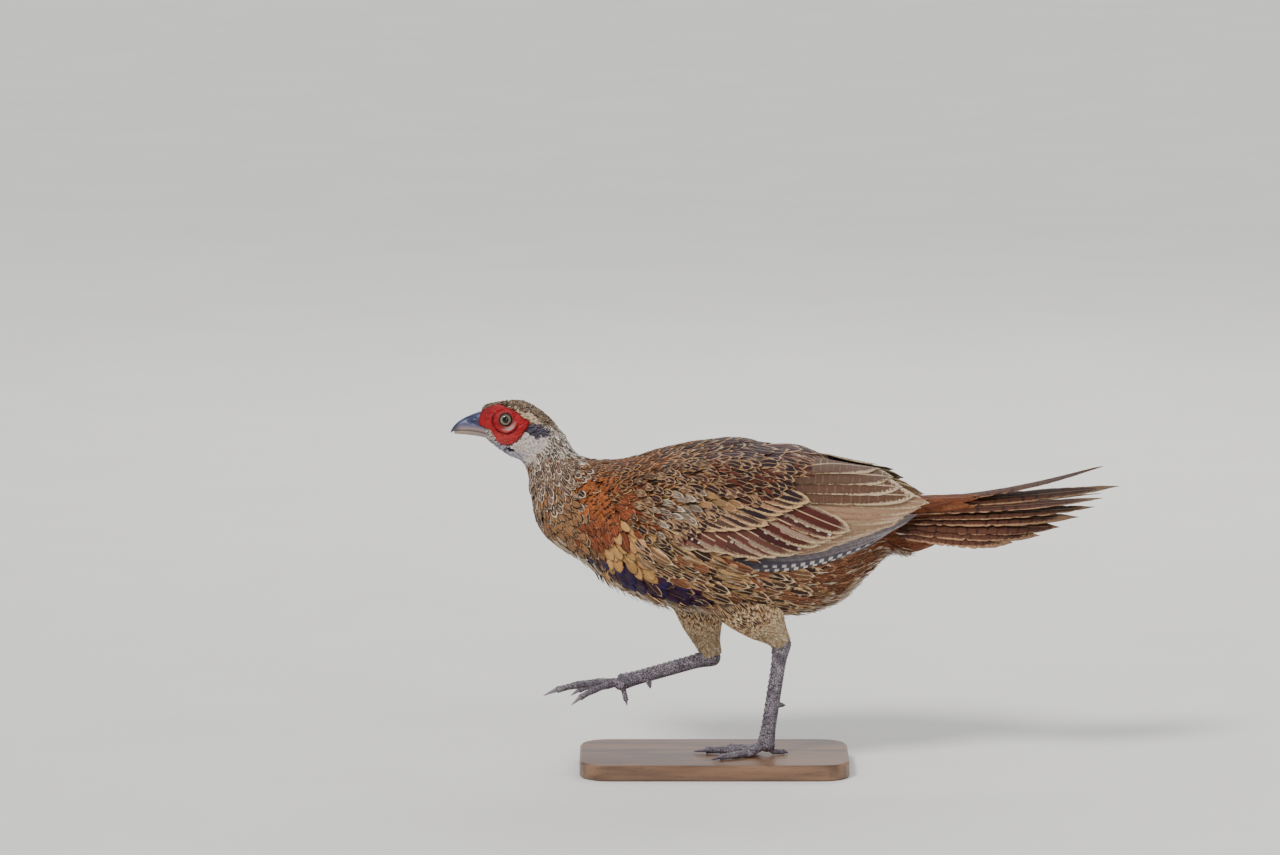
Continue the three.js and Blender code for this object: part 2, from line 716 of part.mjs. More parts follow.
function sideways(leg, spec) {
  const path = toePath(leg, spec);
  const along = path(1).sub(path(0.4)).normalize();
  return new THREE.Vector3(0, 0, 1).cross(along).normalize();
}

function claw(leg, spec) {
  const path = toePath(leg, spec);
  const size = spec.thick * 0.62;
  const floor = 0.5;
  const joints = [0, 0.35, 0.7, 1].map((share) => {
    const t = mix(1 - CLAW_SHARE, 1.02, share) + 0.012;
    const place = path(t);
    const thick = mix(size * 0.78, 0.4, share ** 1.3);
    place.z += (1 - share) * 0.5 - share * 1.1;
    if (leg.side === LEFT) place.z = Math.max(place.z, thick + floor * 0.2);
    return { at: place.toArray(), deep: thick, wide: thick * 0.85 };
  });
  return limb(joints, 6, sideways(leg, spec));
}

function foot(leg, shankSolid) {
  const pad = new THREE.SphereGeometry(1, 12, 8);
  pad.scale(6.2, 5.4, 5.0);
  const [x, y, z] = leg.ankle;
  pad.translate(x, y, z - (leg.side === LEFT ? 3 : 1));
  const parts = [toSolid(pad), ...leg.toes.map((spec) => toe(leg, spec))];
  let made = join(parts);
  if (leg.side === LEFT) made = made.trimByPlane([0, 0, 1], 0);
  return largest(made.subtract(shankSolid));
}

// A copy of a solid grown by a cut's width, as the join of small shifts of it.
function grown(solid, by = GAP) {
  const shifts = [
    [by, 0, 0], [-by, 0, 0], [0, by, 0], [0, -by, 0], [0, 0, by], [0, 0, -by],
  ];
  return join([solid, ...shifts.map((shift) => solid.translate(shift))]);
}

// Base

function base() {
  const { length, width, height, corner, bevel } = BASE;
  const shape = new THREE.Shape();
  const [x, y] = [length / 2 - bevel, width / 2 - bevel];
  shape.moveTo(-x + corner, -y);
  shape.lineTo(x - corner, -y);
  shape.absarc(x - corner, -y + corner, corner, -Math.PI / 2, 0);
  shape.lineTo(x, y - corner);
  shape.absarc(x - corner, y - corner, corner, 0, Math.PI / 2);
  shape.lineTo(-x + corner, y);
  shape.absarc(-x + corner, y - corner, corner, Math.PI / 2, Math.PI);
  shape.lineTo(-x, -y + corner);
  shape.absarc(-x + corner, -y + corner, corner, Math.PI, 1.5 * Math.PI);
  const slab = new THREE.ExtrudeGeometry(shape, {
    depth: height - 2 * bevel, bevelThickness: bevel, bevelSize: bevel, bevelSegments: 1,
    curveSegments: 3,
  });
  slab.translate(BASE.shift, 0, bevel);
  return toSolid(slab);
}

// Assembly

const part = new THREE.Group();
const bird = new THREE.Group();
bird.position.z = BASE.height + GAP;
part.add(bird);

function add(group, name, solid, colour) {
  const material = new THREE.MeshStandardMaterial({ color: colour, roughness: 0.8, metalness: 0 });
  const mesh = new THREE.Mesh(toGeometry(solid), material);
  mesh.name = name;
  group.add(mesh);
}

add(part, "stand_base", base(), COLOURS.base);

add(bird, "head", head(), COLOURS.crown);
add(bird, "bill_upper", billUpper(), COLOURS.bill);
add(bird, "bill_lower", mandible(false), COLOURS.bill);
for (const [word, side] of [["left", LEFT], ["right", RIGHT]]) {
  add(bird, `eye_${word}`, eyeBall(side), COLOURS.eye);
  add(bird, `wattle_${word}`, wattle(side), COLOURS.wattle);
}

const cut = GAP / 26;
const neck = bodyPiece(NECK_TOP + cut, NECK_BASE - cut, { rings: 6, around: 20 });
add(bird, "neck", neck, COLOURS.plumage);

const TORSO_MESH = { rings: 20, around: 20 };
const torsoSolid = bodyPiece(NECK_BASE, RUMP_END, TORSO_MESH);
const torsoCut = bodyPiece(NECK_BASE, RUMP_END + 0.04, { ...TORSO_MESH, extra: GAP });
const thighs = Object.fromEntries(
  Object.entries(LEGS).map(([word, leg]) => [word, thigh(leg)]),
);
add(bird, "torso", torsoSolid, COLOURS.plumage);
for (const [word, side] of [["left", LEFT], ["right", RIGHT]]) {
  add(bird, `wing_${word}`, wing(side, torsoCut), COLOURS.wing);
}
add(bird, "tail", tail(torsoCut), COLOURS.tail);

for (const [word, leg] of Object.entries(LEGS)) {
  const shankSolid = shank(leg);
  const shankCut = grown(shankSolid);
  add(bird, `thigh_${word}`, largest(thighs[word].subtract(torsoCut).subtract(shankCut)), COLOURS.thigh);
  add(bird, `shank_${word}`, shankSolid, COLOURS.leg);
  const footSolid = foot(leg, shankCut);
  const footCut = grown(footSolid);
  add(bird, `foot_${word}`, footSolid, COLOURS.leg);
  for (const spec of leg.toes) {
    const name = `claw_${word}_${spec.name.replace("toe_", "")}`;
    add(bird, name, largest(claw(leg, spec).subtract(footCut)), COLOURS.claw);
  }
}

export default part;
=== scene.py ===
"""The looks of a young male common pheasant in moult, walking with one foot raised, on a low base.

Sizes are in millimetres in the bird's own frame, whose floor is the top of the base, and become
metres when a mesh is made. The bird faces -X and its left side faces -Y.
"""

import math

import bpy
import numpy as np
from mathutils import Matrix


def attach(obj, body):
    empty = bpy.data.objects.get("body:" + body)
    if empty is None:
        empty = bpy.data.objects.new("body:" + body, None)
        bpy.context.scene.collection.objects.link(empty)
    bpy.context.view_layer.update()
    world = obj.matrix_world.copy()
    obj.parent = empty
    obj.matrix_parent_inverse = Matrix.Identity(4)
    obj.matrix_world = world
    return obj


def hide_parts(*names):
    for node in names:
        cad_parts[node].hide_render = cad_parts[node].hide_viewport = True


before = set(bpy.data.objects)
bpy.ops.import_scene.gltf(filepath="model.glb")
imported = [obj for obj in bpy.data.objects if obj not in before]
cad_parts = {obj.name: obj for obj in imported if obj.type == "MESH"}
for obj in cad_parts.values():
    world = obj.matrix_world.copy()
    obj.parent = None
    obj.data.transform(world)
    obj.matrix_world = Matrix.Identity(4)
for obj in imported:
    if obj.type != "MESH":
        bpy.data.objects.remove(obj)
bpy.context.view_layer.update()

# Driving sizes, the same as in the part's source
BASE_TOP = 12.35
LEFT = -1
RIGHT = 1
WORDS = {LEFT: "left", RIGHT: "right"}
EYE = {"x": -158.4, "z": 251.6, "radius": 6.2, "reach": 15.2}


def table(names, rows):
    """A table of named sizes, one column for each name."""
    return {name: np.array([row[i] for row in rows], float) for i, name in enumerate(names)}


# Rings of the body from the face to the tail root. The last rings carry the tail's coverts.
BODY = table(("x", "z", "lean", "up", "down", "half"), [
    (-176.1, 249.4, 0, 10.5, 10.2, 7),
    (-164.3, 247.2, 5, 15.8, 17.0, 12),
    (-150.2, 244.2, 15, 19.6, 21.4, 14.8),
    (-136.2, 236.8, 35, 17.4, 20.4, 15.8),
    (-127.3, 224.2, 48, 16.8, 19.0, 16.4),
    (-119.9, 209.4, 50, 19.6, 25.0, 21),
    (-107.3, 192.4, 42, 34.6, 35.0, 32),
    (-85.1, 180.6, 28, 44.6, 38.2, 42),
    (-55.5, 173.9, 15, 54.6, 52.6, 49),
    (-18.5, 170.2, 5, 62.2, 61.6, 53),
    (18.5, 170.2, 0, 63.6, 65.0, 53),
    (51.8, 171.7, -3, 50.0, 64.6, 47),
    (81.4, 173.9, -5, 33.0, 57.0, 37),
    (102.0, 176.0, -7, 22.5, 39.0, 27),
    (120.0, 178.3, -8, 15.0, 26.0, 16),
    (137.0, 180.3, -4, 12.5, 28.0, 14),
    (154.0, 182.3, 0, 10.0, 26.0, 12.5),
    (172.0, 185.0, 0, 8.0, 19.0, 11.5),
    (192.0, 188.0, 0, 6.0, 12.0, 10),
])
NECK_TOP = 3.6
RUMP_END = 14.0

WING_HULL = table(("x", "z", "up", "half"), [
    (-92, 178, 42, 42),
    (-55, 172, 56, 54),
    (-18, 169, 65, 60),
    (18, 169, 67, 61),
    (52, 171, 60, 56),
    (82, 174, 48, 47),
    (106, 178, 38, 38),
    (128, 182, 30, 29),
    (152, 185, 24, 21),
])

BILL_RINGS = table(("x", "ridge", "mouth", "keel", "half"), [
    (-173, 257.2, 240.6, 236.6, 7.0),
    (-180, 255.0, 242.0, 237.9, 5.6),
    (-187, 252.2, 242.6, 238.8, 4.5),
    (-193, 248.8, 242.4, 239.3, 3.4),
    (-197, 245.0, 241.4, 239.5, 2.2),
    (-199.2, 241.4, 239.9, 239.4, 0.9),
])
BILL_REACH = {"upper": 5.0, "lower": 3.9}

LEGS = {
    "left": {
        "side": LEFT,
        "planted": True,
        "thigh": table(("x", "y", "z", "deep", "wide"), [
            (8, -20, 142, 32, 17), (18, -21, 122, 27, 16), (31, -21, 104, 18, 13),
            (41, -20, 92, 9.5, 8.5), (46, -19, 85, 6.6, 6.2),
        ]),
        "hock": (46, -19, 85),
        "ankle": (35, -14, 10.5),
        "spur": 0.62,
        "toes": {
            "inner": (42, -40, 0, 3.3), "middle": (55, -9, 0, 3.6),
            "outer": (48, 30, 0, 3.3), "hind": (17, 200, 0, 2.6),
        },
    },
    "right": {
        "side": RIGHT,
        "planted": False,
        "thigh": table(("x", "y", "z", "deep", "wide"), [
            (-16, 20, 140, 28, 17), (-15, 21, 117, 23, 15), (-13, 21.5, 97, 16, 11.5),
            (-9, 21.5, 80, 9.5, 8.5), (-5, 21, 69, 6.8, 6.4),
        ]),
        "hock": (-5, 21, 68),
        "ankle": (-73, 19, 49),
        "spur": 0.72,
        "toes": {
            "inner": (42, -20, 19, 3.2), "middle": (59, 2, 9, 3.5),
            "outer": (44, 26, 16, 3.2), "hind": (17, 185, 76, 2.6),
        },
    },
}
CLAW_SHARE = 0.17
TOE_TAPER = 0.38

# Sizes of this script alone. A step is a short move along a surface and across it.
METRES_PER_MM = 0.001
BODY_STEP = (0.03, 1.5)
LIMB_STEP = (0.03, 2.0)
WING_STEP = (1.0, 0.5)
SKIN_VOXEL = 0.0016
LID_RADIUS = 4.8
IRIS_RADIUS = 3.9
PUPIL_RADIUS = 2.4
DOWN_COUNT = 1900
VANE_MARGIN = 0.1
# Spreads one number for each feather over the rows and columns of its mesh
CELL = (slice(None), None, None)
# Waves of the feather material: a full turn, the most cross bars and the turns of all of them
TURN = 6.28
MOST_BARS = 20
ALL_BARS = 125.66

# Shapes


def between(rows, at):
    """The sizes of a table at fractional row numbers, on a smooth curve through the rows."""
    last = len(next(iter(rows.values()))) - 1
    at = np.clip(np.asarray(at, float), -0.3, last)
    i = np.clip(np.floor(at).astype(int), 0, last - 1)
    t = at - i
    sizes = {}
    for name, column in rows.items():
        before, here = column[np.maximum(i - 1, 0)], column[i]
        ahead, after = column[i + 1], column[np.minimum(i + 2, last)]
        bend = 3 * (here - ahead) + after - before
        slope = 2 * before - 5 * here + 4 * ahead - after
        sizes[name] = here + 0.5 * t * (ahead - before + t * (slope + t * bend))
    return sizes


def ramp(value, low, high):
    """A smooth step from 0 at low to 1 at high."""
    t = np.clip((np.asarray(value, float) - low) / (high - low), 0, 1)
    return t * t * (3 - 2 * t)


def hump(*pairs):
    """1 where the first number of every pair is 0, falling off smoothly over the second."""
    return np.exp(-sum((value / reach) ** 2 for value, reach in pairs))


def length_of(vectors):
    return np.maximum(np.linalg.norm(vectors, axis=-1, keepdims=True), 1e-9)


def unit(vectors):
    return vectors / length_of(vectors)


def on_body(at, angle, extra=0.0):
    """Points of the body. The angle is 0 on the back, 90 on the right side, -90 on the left."""
    ring = between(BODY, at)
    lean, turn = np.radians(ring["lean"]), np.radians(angle)
    rise = np.cos(turn) * (np.where(np.cos(turn) > 0, ring["up"], ring["down"]) + extra)
    return np.stack([
        ring["x"] + rise * np.sin(lean),
        np.sin(turn) * (ring["half"] + extra),
        ring["z"] + rise * np.cos(lean),
    ], -1)


def on_coat(at, angle):
    """The body as the coat lies on it: fuller where the feathers of the back cover the wings."""
    at, angle = np.broadcast_arrays(np.asarray(at, float), np.asarray(angle, float))
    turn = np.abs((angle + 180) % 360 - 180)
    over_wing = ramp(at, 7.0, 8.4) * (1 - ramp(at, 10.3, 11.5))
    swell = 6.6 * over_wing * ramp(turn, 22, 56) * (1 - ramp(turn, 92, 118))
    swell = swell + 12.5 * ramp(at, 10.2, 11.6) * (1 - ramp(at, 13.2, 14.6)) * (1 - ramp(turn, 35, 80))
    return on_body(at, angle, swell)


def wing_surface(side):
    """The outside of a folded wing as points of the side view."""
    def on_wing(x, z):
        row = np.interp(x, WING_HULL["x"], np.arange(len(WING_HULL["x"])))
        ring = between(WING_HULL, row)
        height = (z - ring["z"]) / ring["up"]
        over = np.maximum(height - 0.86, 0)
        height = np.clip(np.where(over > 0, 0.86 + 0.12 * np.tanh(over / 0.12), height), -0.97, 0.99)
        across = side * ring["half"] * np.sqrt(1 - height**2)
        return np.stack([x + 0 * z, across, ring["z"] + ring["up"] * height], -1)
    return on_wing


def crosswise(along, lateral):
    """Unit directions ahead of a limb and beside it, from the way that it runs."""
    along = unit(along)
    fore = unit(np.cross(np.array(lateral, float), along))
    return fore, np.cross(along, fore)


def limb_surface(rows):
    """A tapered limb: the first number runs along its rows, the second is an angle round it."""
    def on_limb(at, angle):
        ring, near, far = between(rows, at), between(rows, at - 0.05), between(rows, at + 0.05)
        fore, across = crosswise(np.stack([far[k] - near[k] for k in "xyz"], -1), (0, 1, 0))
        turn = np.radians(angle)
        return (np.stack([ring[k] for k in "xyz"], -1)
                + fore * (np.cos(turn) * ring["deep"])[..., None]
                + across * (np.sin(turn) * ring["wide"])[..., None])
    return on_limb


def slopes(surface, a, b, step):
    """How far a surface moves over a short step to each side, along it and across it."""
    along = surface(a + step[0], b) - surface(a - step[0], b)
    across = surface(a, b + step[1]) - surface(a, b - step[1])
    return along, across


def normals_of(surface, a, b, step, sign):
    return sign * unit(np.cross(*slopes(surface, a, b, step)))


# Meshes


def make_object(name, points, faces, smooth=True):
    """A mesh object from points in the bird's millimetres and faces of three or four corners."""
    mesh = bpy.data.meshes.new(name)
    points = points.reshape(-1, 3) + (0, 0, BASE_TOP)
    mesh.vertices.add(len(points))
    mesh.vertices.foreach_set("co", (points * METRES_PER_MM).ravel())
    mesh.loops.add(faces.size)
    mesh.loops.foreach_set("vertex_index", faces.ravel())
    mesh.polygons.add(len(faces))
    mesh.polygons.foreach_set("loop_start", np.arange(len(faces)) * faces.shape[1])
    mesh.polygons.foreach_set("use_smooth", np.full(len(faces), smooth))
    mesh.update(calc_edges=True)
    mesh.validate()
    made = bpy.data.objects.new(name, mesh)
    bpy.context.scene.collection.objects.link(made)
    return made


def set_colours(made, name, values):
    """A colour layer of a mesh, with four numbers for each vertex."""
    layer = made.data.attributes.new(name, "FLOAT_COLOR", "POINT")
    layer.data.foreach_set("color", values.ravel())


def paint(made, tone):
    """The one colour layer of a piece that has no vanes."""
    tone = tone.reshape(-1, 3)
    set_colours(made, "Centre", np.column_stack([tone, np.ones(len(tone))]))


def tube(rings):
    """Points and faces of a closed tube over an array of rings, with a centre point at each end."""
    count, size = rings.shape[:2]
    points = np.concatenate([rings.reshape(-1, 3), rings[[0, -1]].mean(1)])
    ring = np.arange(size)
    after = (ring + 1) % size
    start = np.arange(count - 1)[:, None] * size
    a, b = (start + ring).ravel(), (start + after).ravel()
    base, middle = (count - 1) * size, np.full(size, count * size)
    faces = np.concatenate([
        np.stack([a, b, b + size], 1),
        np.stack([a, b + size, a + size], 1),
        np.stack([after, ring, middle], 1),
        np.stack([base + ring, base + after, middle + 1], 1),
    ])
    corners = points[faces]
    volume = np.einsum("ij,ij->", corners[:, 0], np.cross(corners[:, 1], corners[:, 2]))
    return points, faces if volume > 0 else faces[:, ::-1]


def join_parts(parts):
    """One list of points and faces from several."""
    starts = np.cumsum([0] + [len(points) for points, _ in parts])
    faces = [faces + start for (_, faces), start in zip(parts, starts)]
    return np.concatenate([points for points, _ in parts]), np.concatenate(faces)


# Feathers

# How wide a vane is at shares of its length, as a share of its full width
SHAPES = {
    "scale": ((0, 0.34), (0.15, 0.6), (0.35, 0.86), (0.58, 1.0), (0.78, 0.84), (0.92, 0.5), (1, 0.1)),
    "lance": ((0, 0.4), (0.2, 0.75), (0.45, 1.0), (0.7, 0.84), (0.88, 0.5), (1, 0.05)),
    "blade": ((0, 0.4), (0.12, 0.72), (0.3, 0.92), (0.6, 1.0), (0.84, 0.9), (0.95, 0.6), (1, 0.1)),
    "tail": ((0, 0.5), (0.15, 0.9), (0.5, 1.0), (0.75, 0.88), (0.9, 0.58), (0.97, 0.3), (1, 0.06)),
    "wisp": ((0, 0.8), (0.3, 1.0), (0.7, 0.6), (1, 0.05)),
}


def on_surface(surface, step, sign, a, b, heading, bow=0.0):
    """Places points of a feather on a surface from their reach along and across it, in mm."""
    a, b, heading = np.broadcast_arrays(*[np.asarray(v, float) for v in (a, b, heading)])
    size_a, size_b = [
        length_of(slope)[..., 0] / (2 * reach)
        for slope, reach in zip(slopes(surface, a, b, step), step)
    ]
    cos, sin = np.cos(np.radians(heading)), np.sin(np.radians(heading))

    def place(t, p, q):
        q = q + np.asarray(bow, float).reshape(-1, 1, 1) * 4 * t * (1 - t)
        at_a = a[CELL] + (p * cos[CELL] - q * sin[CELL]) / size_a[CELL]
        at_b = b[CELL] + (p * sin[CELL] + q * cos[CELL]) / size_b[CELL]
        return surface(at_a, at_b), normals_of(surface, at_a, at_b, step, sign)
    return place


def vane_faces(rows, cols):
    """Faces of one closed vane, and how many of them are its two broad sides."""
    layer = rows * cols
    i, j = np.meshgrid(np.arange(rows - 1), np.arange(cols - 1), indexing="ij")
    k = (i * cols + j).ravel()
    upper = np.stack([k, k + cols, k + cols + 1, k + 1], 1)
    left = np.arange(rows - 1) * cols
    right = left + cols - 1
    first = np.arange(cols - 1)
    last = first + (rows - 1) * cols
    return np.concatenate([
        upper,
        upper[:, ::-1] + layer,
        np.stack([left, left + layer, left + cols + layer, left + cols], 1),
        np.stack([right, right + cols, right + cols + layer, right + layer], 1),
        np.stack([first, first + 1, first + 1 + layer, first + layer], 1),
        np.stack([last, last + layer, last + 1 + layer, last + 1], 1),
    ]), 2 * len(upper)


def feathers(name, place, length, width, marks, cells, *, shape="scale", grid=(7, 5), sink=0.5,
             lift=1.2, roll=0.0, camber=0.4, curl=0.0, thick=0.18, ragged=0.0, seed=1):
    """One object of many closed vanes over a surface, with their markings and unwrap patches."""
    rng = np.random.default_rng(seed)
    count = len(length)
    rows, cols = grid
    t = np.linspace(0, 1, rows)[None, :, None] ** 0.9
    u = np.linspace(-1, 1, cols)[None, None, :]
    spread = np.interp(t, *np.array(SHAPES[shape]).T) * np.ones((count, 1, 1))
    if ragged:
        nick = 1 - ragged * rng.random((count, rows, 2)) ** 3
        nick[:, 0] = 1
        spread = spread * np.where(u < 0, nick[:, :, :1], nick[:, :, 1:])
    sizes = (length, width, lift, roll, camber, curl)
    long, wide, lift, roll, camber, curl = [np.asarray(v, float).reshape(-1, 1, 1) for v in sizes]
    # A vane rises from under the skin, is lowest at its edges and may curl up at the tip
    p = long * (t - 0.03 * u * u * t)
    q = u * spread * wide / 2
    points, normal = place(t, p, q)
    rise = -sink + (lift + sink) * np.minimum(1, t * 1.8) ** 0.8
    height = rise + roll * u * spread - camber * (u * spread) ** 2 + curl * t**3
    top = points + normal * height[..., None]
    every = np.stack([top, top - normal * thick], 1).reshape(count, -1, 3)
    face, broad = vane_faces(rows, cols)
    turned = np.cross(top[0, 1, 1] - top[0, 0, 1], top[0, 1, 2] - top[0, 1, 1])
    if np.dot(turned, normal[0, 1, 1]) < 0:
        face = face[:, ::-1]
    corners = 2 * rows * cols
    faces = (face[None] + (np.arange(count) * corners)[CELL]).reshape(-1, 4)
    made = make_object(name, every, faces, np.tile(np.arange(len(face)) < broad, count))

    across = (0.5 + 0.5 * u * spread) * np.ones_like(t)
    vane = np.stack([across, t * np.ones((count, 1, cols))], -1)
    vane = np.stack([vane, vane], 1).reshape(count, -1, 2)
    corner, size = cells
    inside = vane * (1 - 2 * VANE_MARGIN) + VANE_MARGIN
    patch = corner[:, None] + inside * size[:, None]
    for layer, unwrap in (("Vane", vane), ("OFBake", patch)):
        at_corners = unwrap.reshape(-1, 2)[faces.ravel()]
        made.data.uv_layers.new(name=layer).data.foreach_set("uv", at_corners.ravel())
    made.data.uv_layers["OFBake"].active = True
    for layer, values in marks.items():
        set_colours(made, layer, np.repeat(values, corners, axis=0))
    return made


def row_cells(counts):
    """Unwrap patches for rows of feathers: each row is a strip, each feather its share of it."""
    size = np.concatenate([np.tile((1 / count, 1 / len(counts)), (count, 1)) for count in counts])
    corner = np.concatenate([
        np.stack([np.arange(count) / count, np.full(count, i / len(counts))], 1)
        for i, count in enumerate(counts)
    ])
    return corner, size


def joined_rows(rows):
    """The roots of all rows in one list, and how many each row has."""
    return np.concatenate(rows), [len(row) for row in rows]


# Markings. Each kind of feather has a ground colour, a colour of its marks and one of its fringe,
# and how strongly each marking shows: a dark crescent of some band inside the fringe, a streak
# along the shaft as wide as its core, cross bars and their number, a pale arrow, pale spots, gloss
# and the width of the fringe.


def colour(code):
    """A colour from six hex digits, as linear light."""
    parts = np.array([int(code[i:i + 2], 16) for i in (0, 2, 4)]) / 255
    return np.where(parts <= 0.04045, parts / 12.92, ((parts + 0.055) / 1.055) ** 2.4)


def blended(tone, share, code):
    """A tone moved by a share towards the colour of a code."""
    share = share[..., None]
    return tone * (1 - share) + colour(code) * share


def kind(ground, mark, edge, **marks):
    plain = {
        "crescent": 0.0, "band": 0.3, "streak": 0.0, "core": 0.4, "bars": 0.0, "number": 2,
        "arrow": 0.0, "spots": 0.0, "gloss": 0.0, "fringe": 0.14,
    }
    return {"colours": [colour(ground), colour(mark), colour(edge)], **plain, **marks}


KINDS = {
    "crown": kind("846a52", "1c1514", "c0a88e", crescent=1.0, band=0.5, fringe=0.18),
    "brow": kind("b99c7d", "8a6a4e", "d8c5ae", fringe=0.2),
    "cheek": kind("c2b3aa", "8f7f79", "dccfc7", crescent=0.25, bars=0.3, fringe=0.25),
    "chin": kind("99929f", "69636f", "bbb6bf", bars=0.25, fringe=0.25),
    "ear": kind("544e5c", "262129", "7d7680", streak=0.7, core=0.5, fringe=0.1),
    "bristle": kind("26222b", "141116", "3d3843", fringe=0.1),
    "nape": kind("c3b3a0", "2a1e1b", "e2d6c8", streak=0.95, core=0.5, fringe=0.25),
    "collar": kind("9c7c62", "241715", "d0b69e", crescent=0.85, band=0.3, streak=0.8, core=0.4,
                   fringe=0.2),
    "breast": kind("96683f", "2c1815", "c09e78", crescent=1.0, band=0.3, streak=0.4, fringe=0.12),
    "rust": kind("7d3d20", "2f140f", "ad7a52", crescent=0.6, band=0.25, streak=0.3, core=0.3,
                 fringe=0.12),
    "orange": kind("8c4a22", "1f0e0a", "b47a4b", bars=1.8, number=3, fringe=0.08),
    "golden": kind("b98a52", "2a1430", "cda36c", crescent=0.9, band=0.15, fringe=0.0),
    "violet": kind("38101f", "141648", "4a1c2a", crescent=0.75, band=0.4, streak=0.3, gloss=0.7,
                   fringe=0.03),
    "belly": kind("a6927a", "7b6755", "c4b39d", crescent=0.35, band=0.25, fringe=0.22),
    "mantle": kind("74401f", "20120f", "b38358", streak=0.95, core=0.62, arrow=0.8, fringe=0.12),
    "maroon": kind("401a22", "1a0e12", "b3967a", streak=0.7, core=0.5, gloss=0.1, fringe=0.16),
    "rufous": kind("5c291c", "1d100e", "b8946d", streak=0.9, core=0.45, arrow=0.5, fringe=0.1),
    "scapular": kind("6b3b26", "20120f", "bd9d77", streak=0.97, core=0.68, arrow=0.9, fringe=0.1),
    "flank": kind("ad8258", "2b1813", "dabd97", streak=1.0, core=0.5, arrow=0.35, fringe=0.13),
    "vent": kind("7f4c31", "43251b", "b08864", streak=0.7, core=0.4),
    "down": kind("b3a08b", "8a7460", "cabaa8", fringe=0.3),
    "rump": kind("583323", "2a1812", "86614a", bars=0.5, number=3, fringe=0.1),
    "undertail": kind("703c22", "3f1d12", "95643f", streak=0.4, fringe=0.12),
    "pin": kind("8a7865", "40302a", "bba994", streak=0.75, core=0.4, arrow=0.6, fringe=0.28),
    "tan": kind("96714a", "5c4027", "b08d64", streak=0.4, fringe=0.2),
    "covert": kind("8b694a", "25151a", "bb986f", streak=0.97, core=0.58, arrow=0.7, fringe=0.12),
    "greater": kind("8c7460", "4e2019", "c2a883", streak=0.95, core=0.55, fringe=0.07),
    "chestnut": kind("74503f", "3a1513", "bd9f7c", streak=1.0, core=0.66, spots=0.5, fringe=0.07),
    "tertial": kind("583c2c", "b59d7e", "bfa988", bars=0.85, number=17, fringe=0.06),
    "secondary": kind("93745a", "6d5242", "c2a98a", bars=0.45, number=17, fringe=0.05),
    "primary": kind("4e4850", "d8d2ca", "77706f", fringe=0.04),
    "inner": kind("655b5e", "716769", "93898a", fringe=0.05),
    "tail": kind("553325", "1b0e0c", "a07c5c", bars=0.75, number=17, streak=0.5, core=0.3,
                 fringe=0.14),
    "tibia": kind("a68a68", "584232", "c2ab8b", crescent=0.6, band=0.3, fringe=0.25),
}
KIND_ROW = {name: i for i, name in enumerate(KINDS)}
KIND_COLOURS = [np.array([row["colours"][i] for row in KINDS.values()]) for i in range(3)]


# Where each kind grows on the head and body, in the side view: centre, reaches and tilt of an
# oval, and how far its edge wanders. Later ovals lie over earlier ones.
HEAD_PLACES = [
    ("nape", -127, 236, 24, 23, 0, 0.2),
    ("cheek", -148, 232, 25, 15, -20, 0.15),
    ("crown", -156, 262, 38, 13, -14, 0.12),
    ("brow", -142, 252.5, 11, 2.8, -30, 0.3),
    ("chin", -163, 228, 18, 6.5, -24, 0.2),
    ("ear", -139.0, 243.6, 8.5, 3.7, -10, 0.2),
    ("bristle", -157, 229.6, 4.4, 1.0, -8, 0.3),
]
BODY_PLACES = [
    ("belly", -20, 98, 110, 24, 0, 0.06),
    ("flank", 10, 134, 92, 36, -4, 0.1),
    ("collar", -121, 196, 26, 34, 40, 0.15),
    ("breast", -106, 162, 30, 38, 30, 0.2),
    ("rust", -80, 180, 25, 19, 30, 0.25),
    ("orange", -95, 197, 12, 11, 0, 0.3),
    ("golden", -70, 154, 17, 26, 0, 0.2),
    ("violet", -38, 131.5, 66, 9, -19, 0.2),
    ("vent", 92, 138, 44, 34, 20, 0.15),
    ("down", 86, 110, 22, 12, 20, 0.25),
    ("scapular", 26, 222, 74, 22, 0, 0.15),
    ("rufous", 34, 216, 40, 14, -10, 0.35),
    ("maroon", 16, 233, 34, 8, 0, 0.35),
    ("rump", 92, 198, 44, 16, 0, 0.12),
    ("undertail", 140, 166, 40, 30, 0, 0.1),
]


def kinds_at(points, places, start, rng=None):
    """The kind of feather at each point, as row numbers of the kinds."""
    x, z = points[..., 0], points[..., 2]
    found = np.full(x.shape, KIND_ROW[start])
    for name, cx, cz, reach_x, reach_z, tilt, wander in places:
        turn = math.radians(tilt)
        along = (x - cx) * math.cos(turn) + (z - cz) * math.sin(turn)
        across = (z - cz) * math.cos(turn) - (x - cx) * math.sin(turn)
        far = np.hypot(along / reach_x, across / reach_z)
        if rng is not None:
            far = far + wander * rng.standard_normal(x.shape)
        found = np.where(far < 1, KIND_ROW[name], found)
    return found


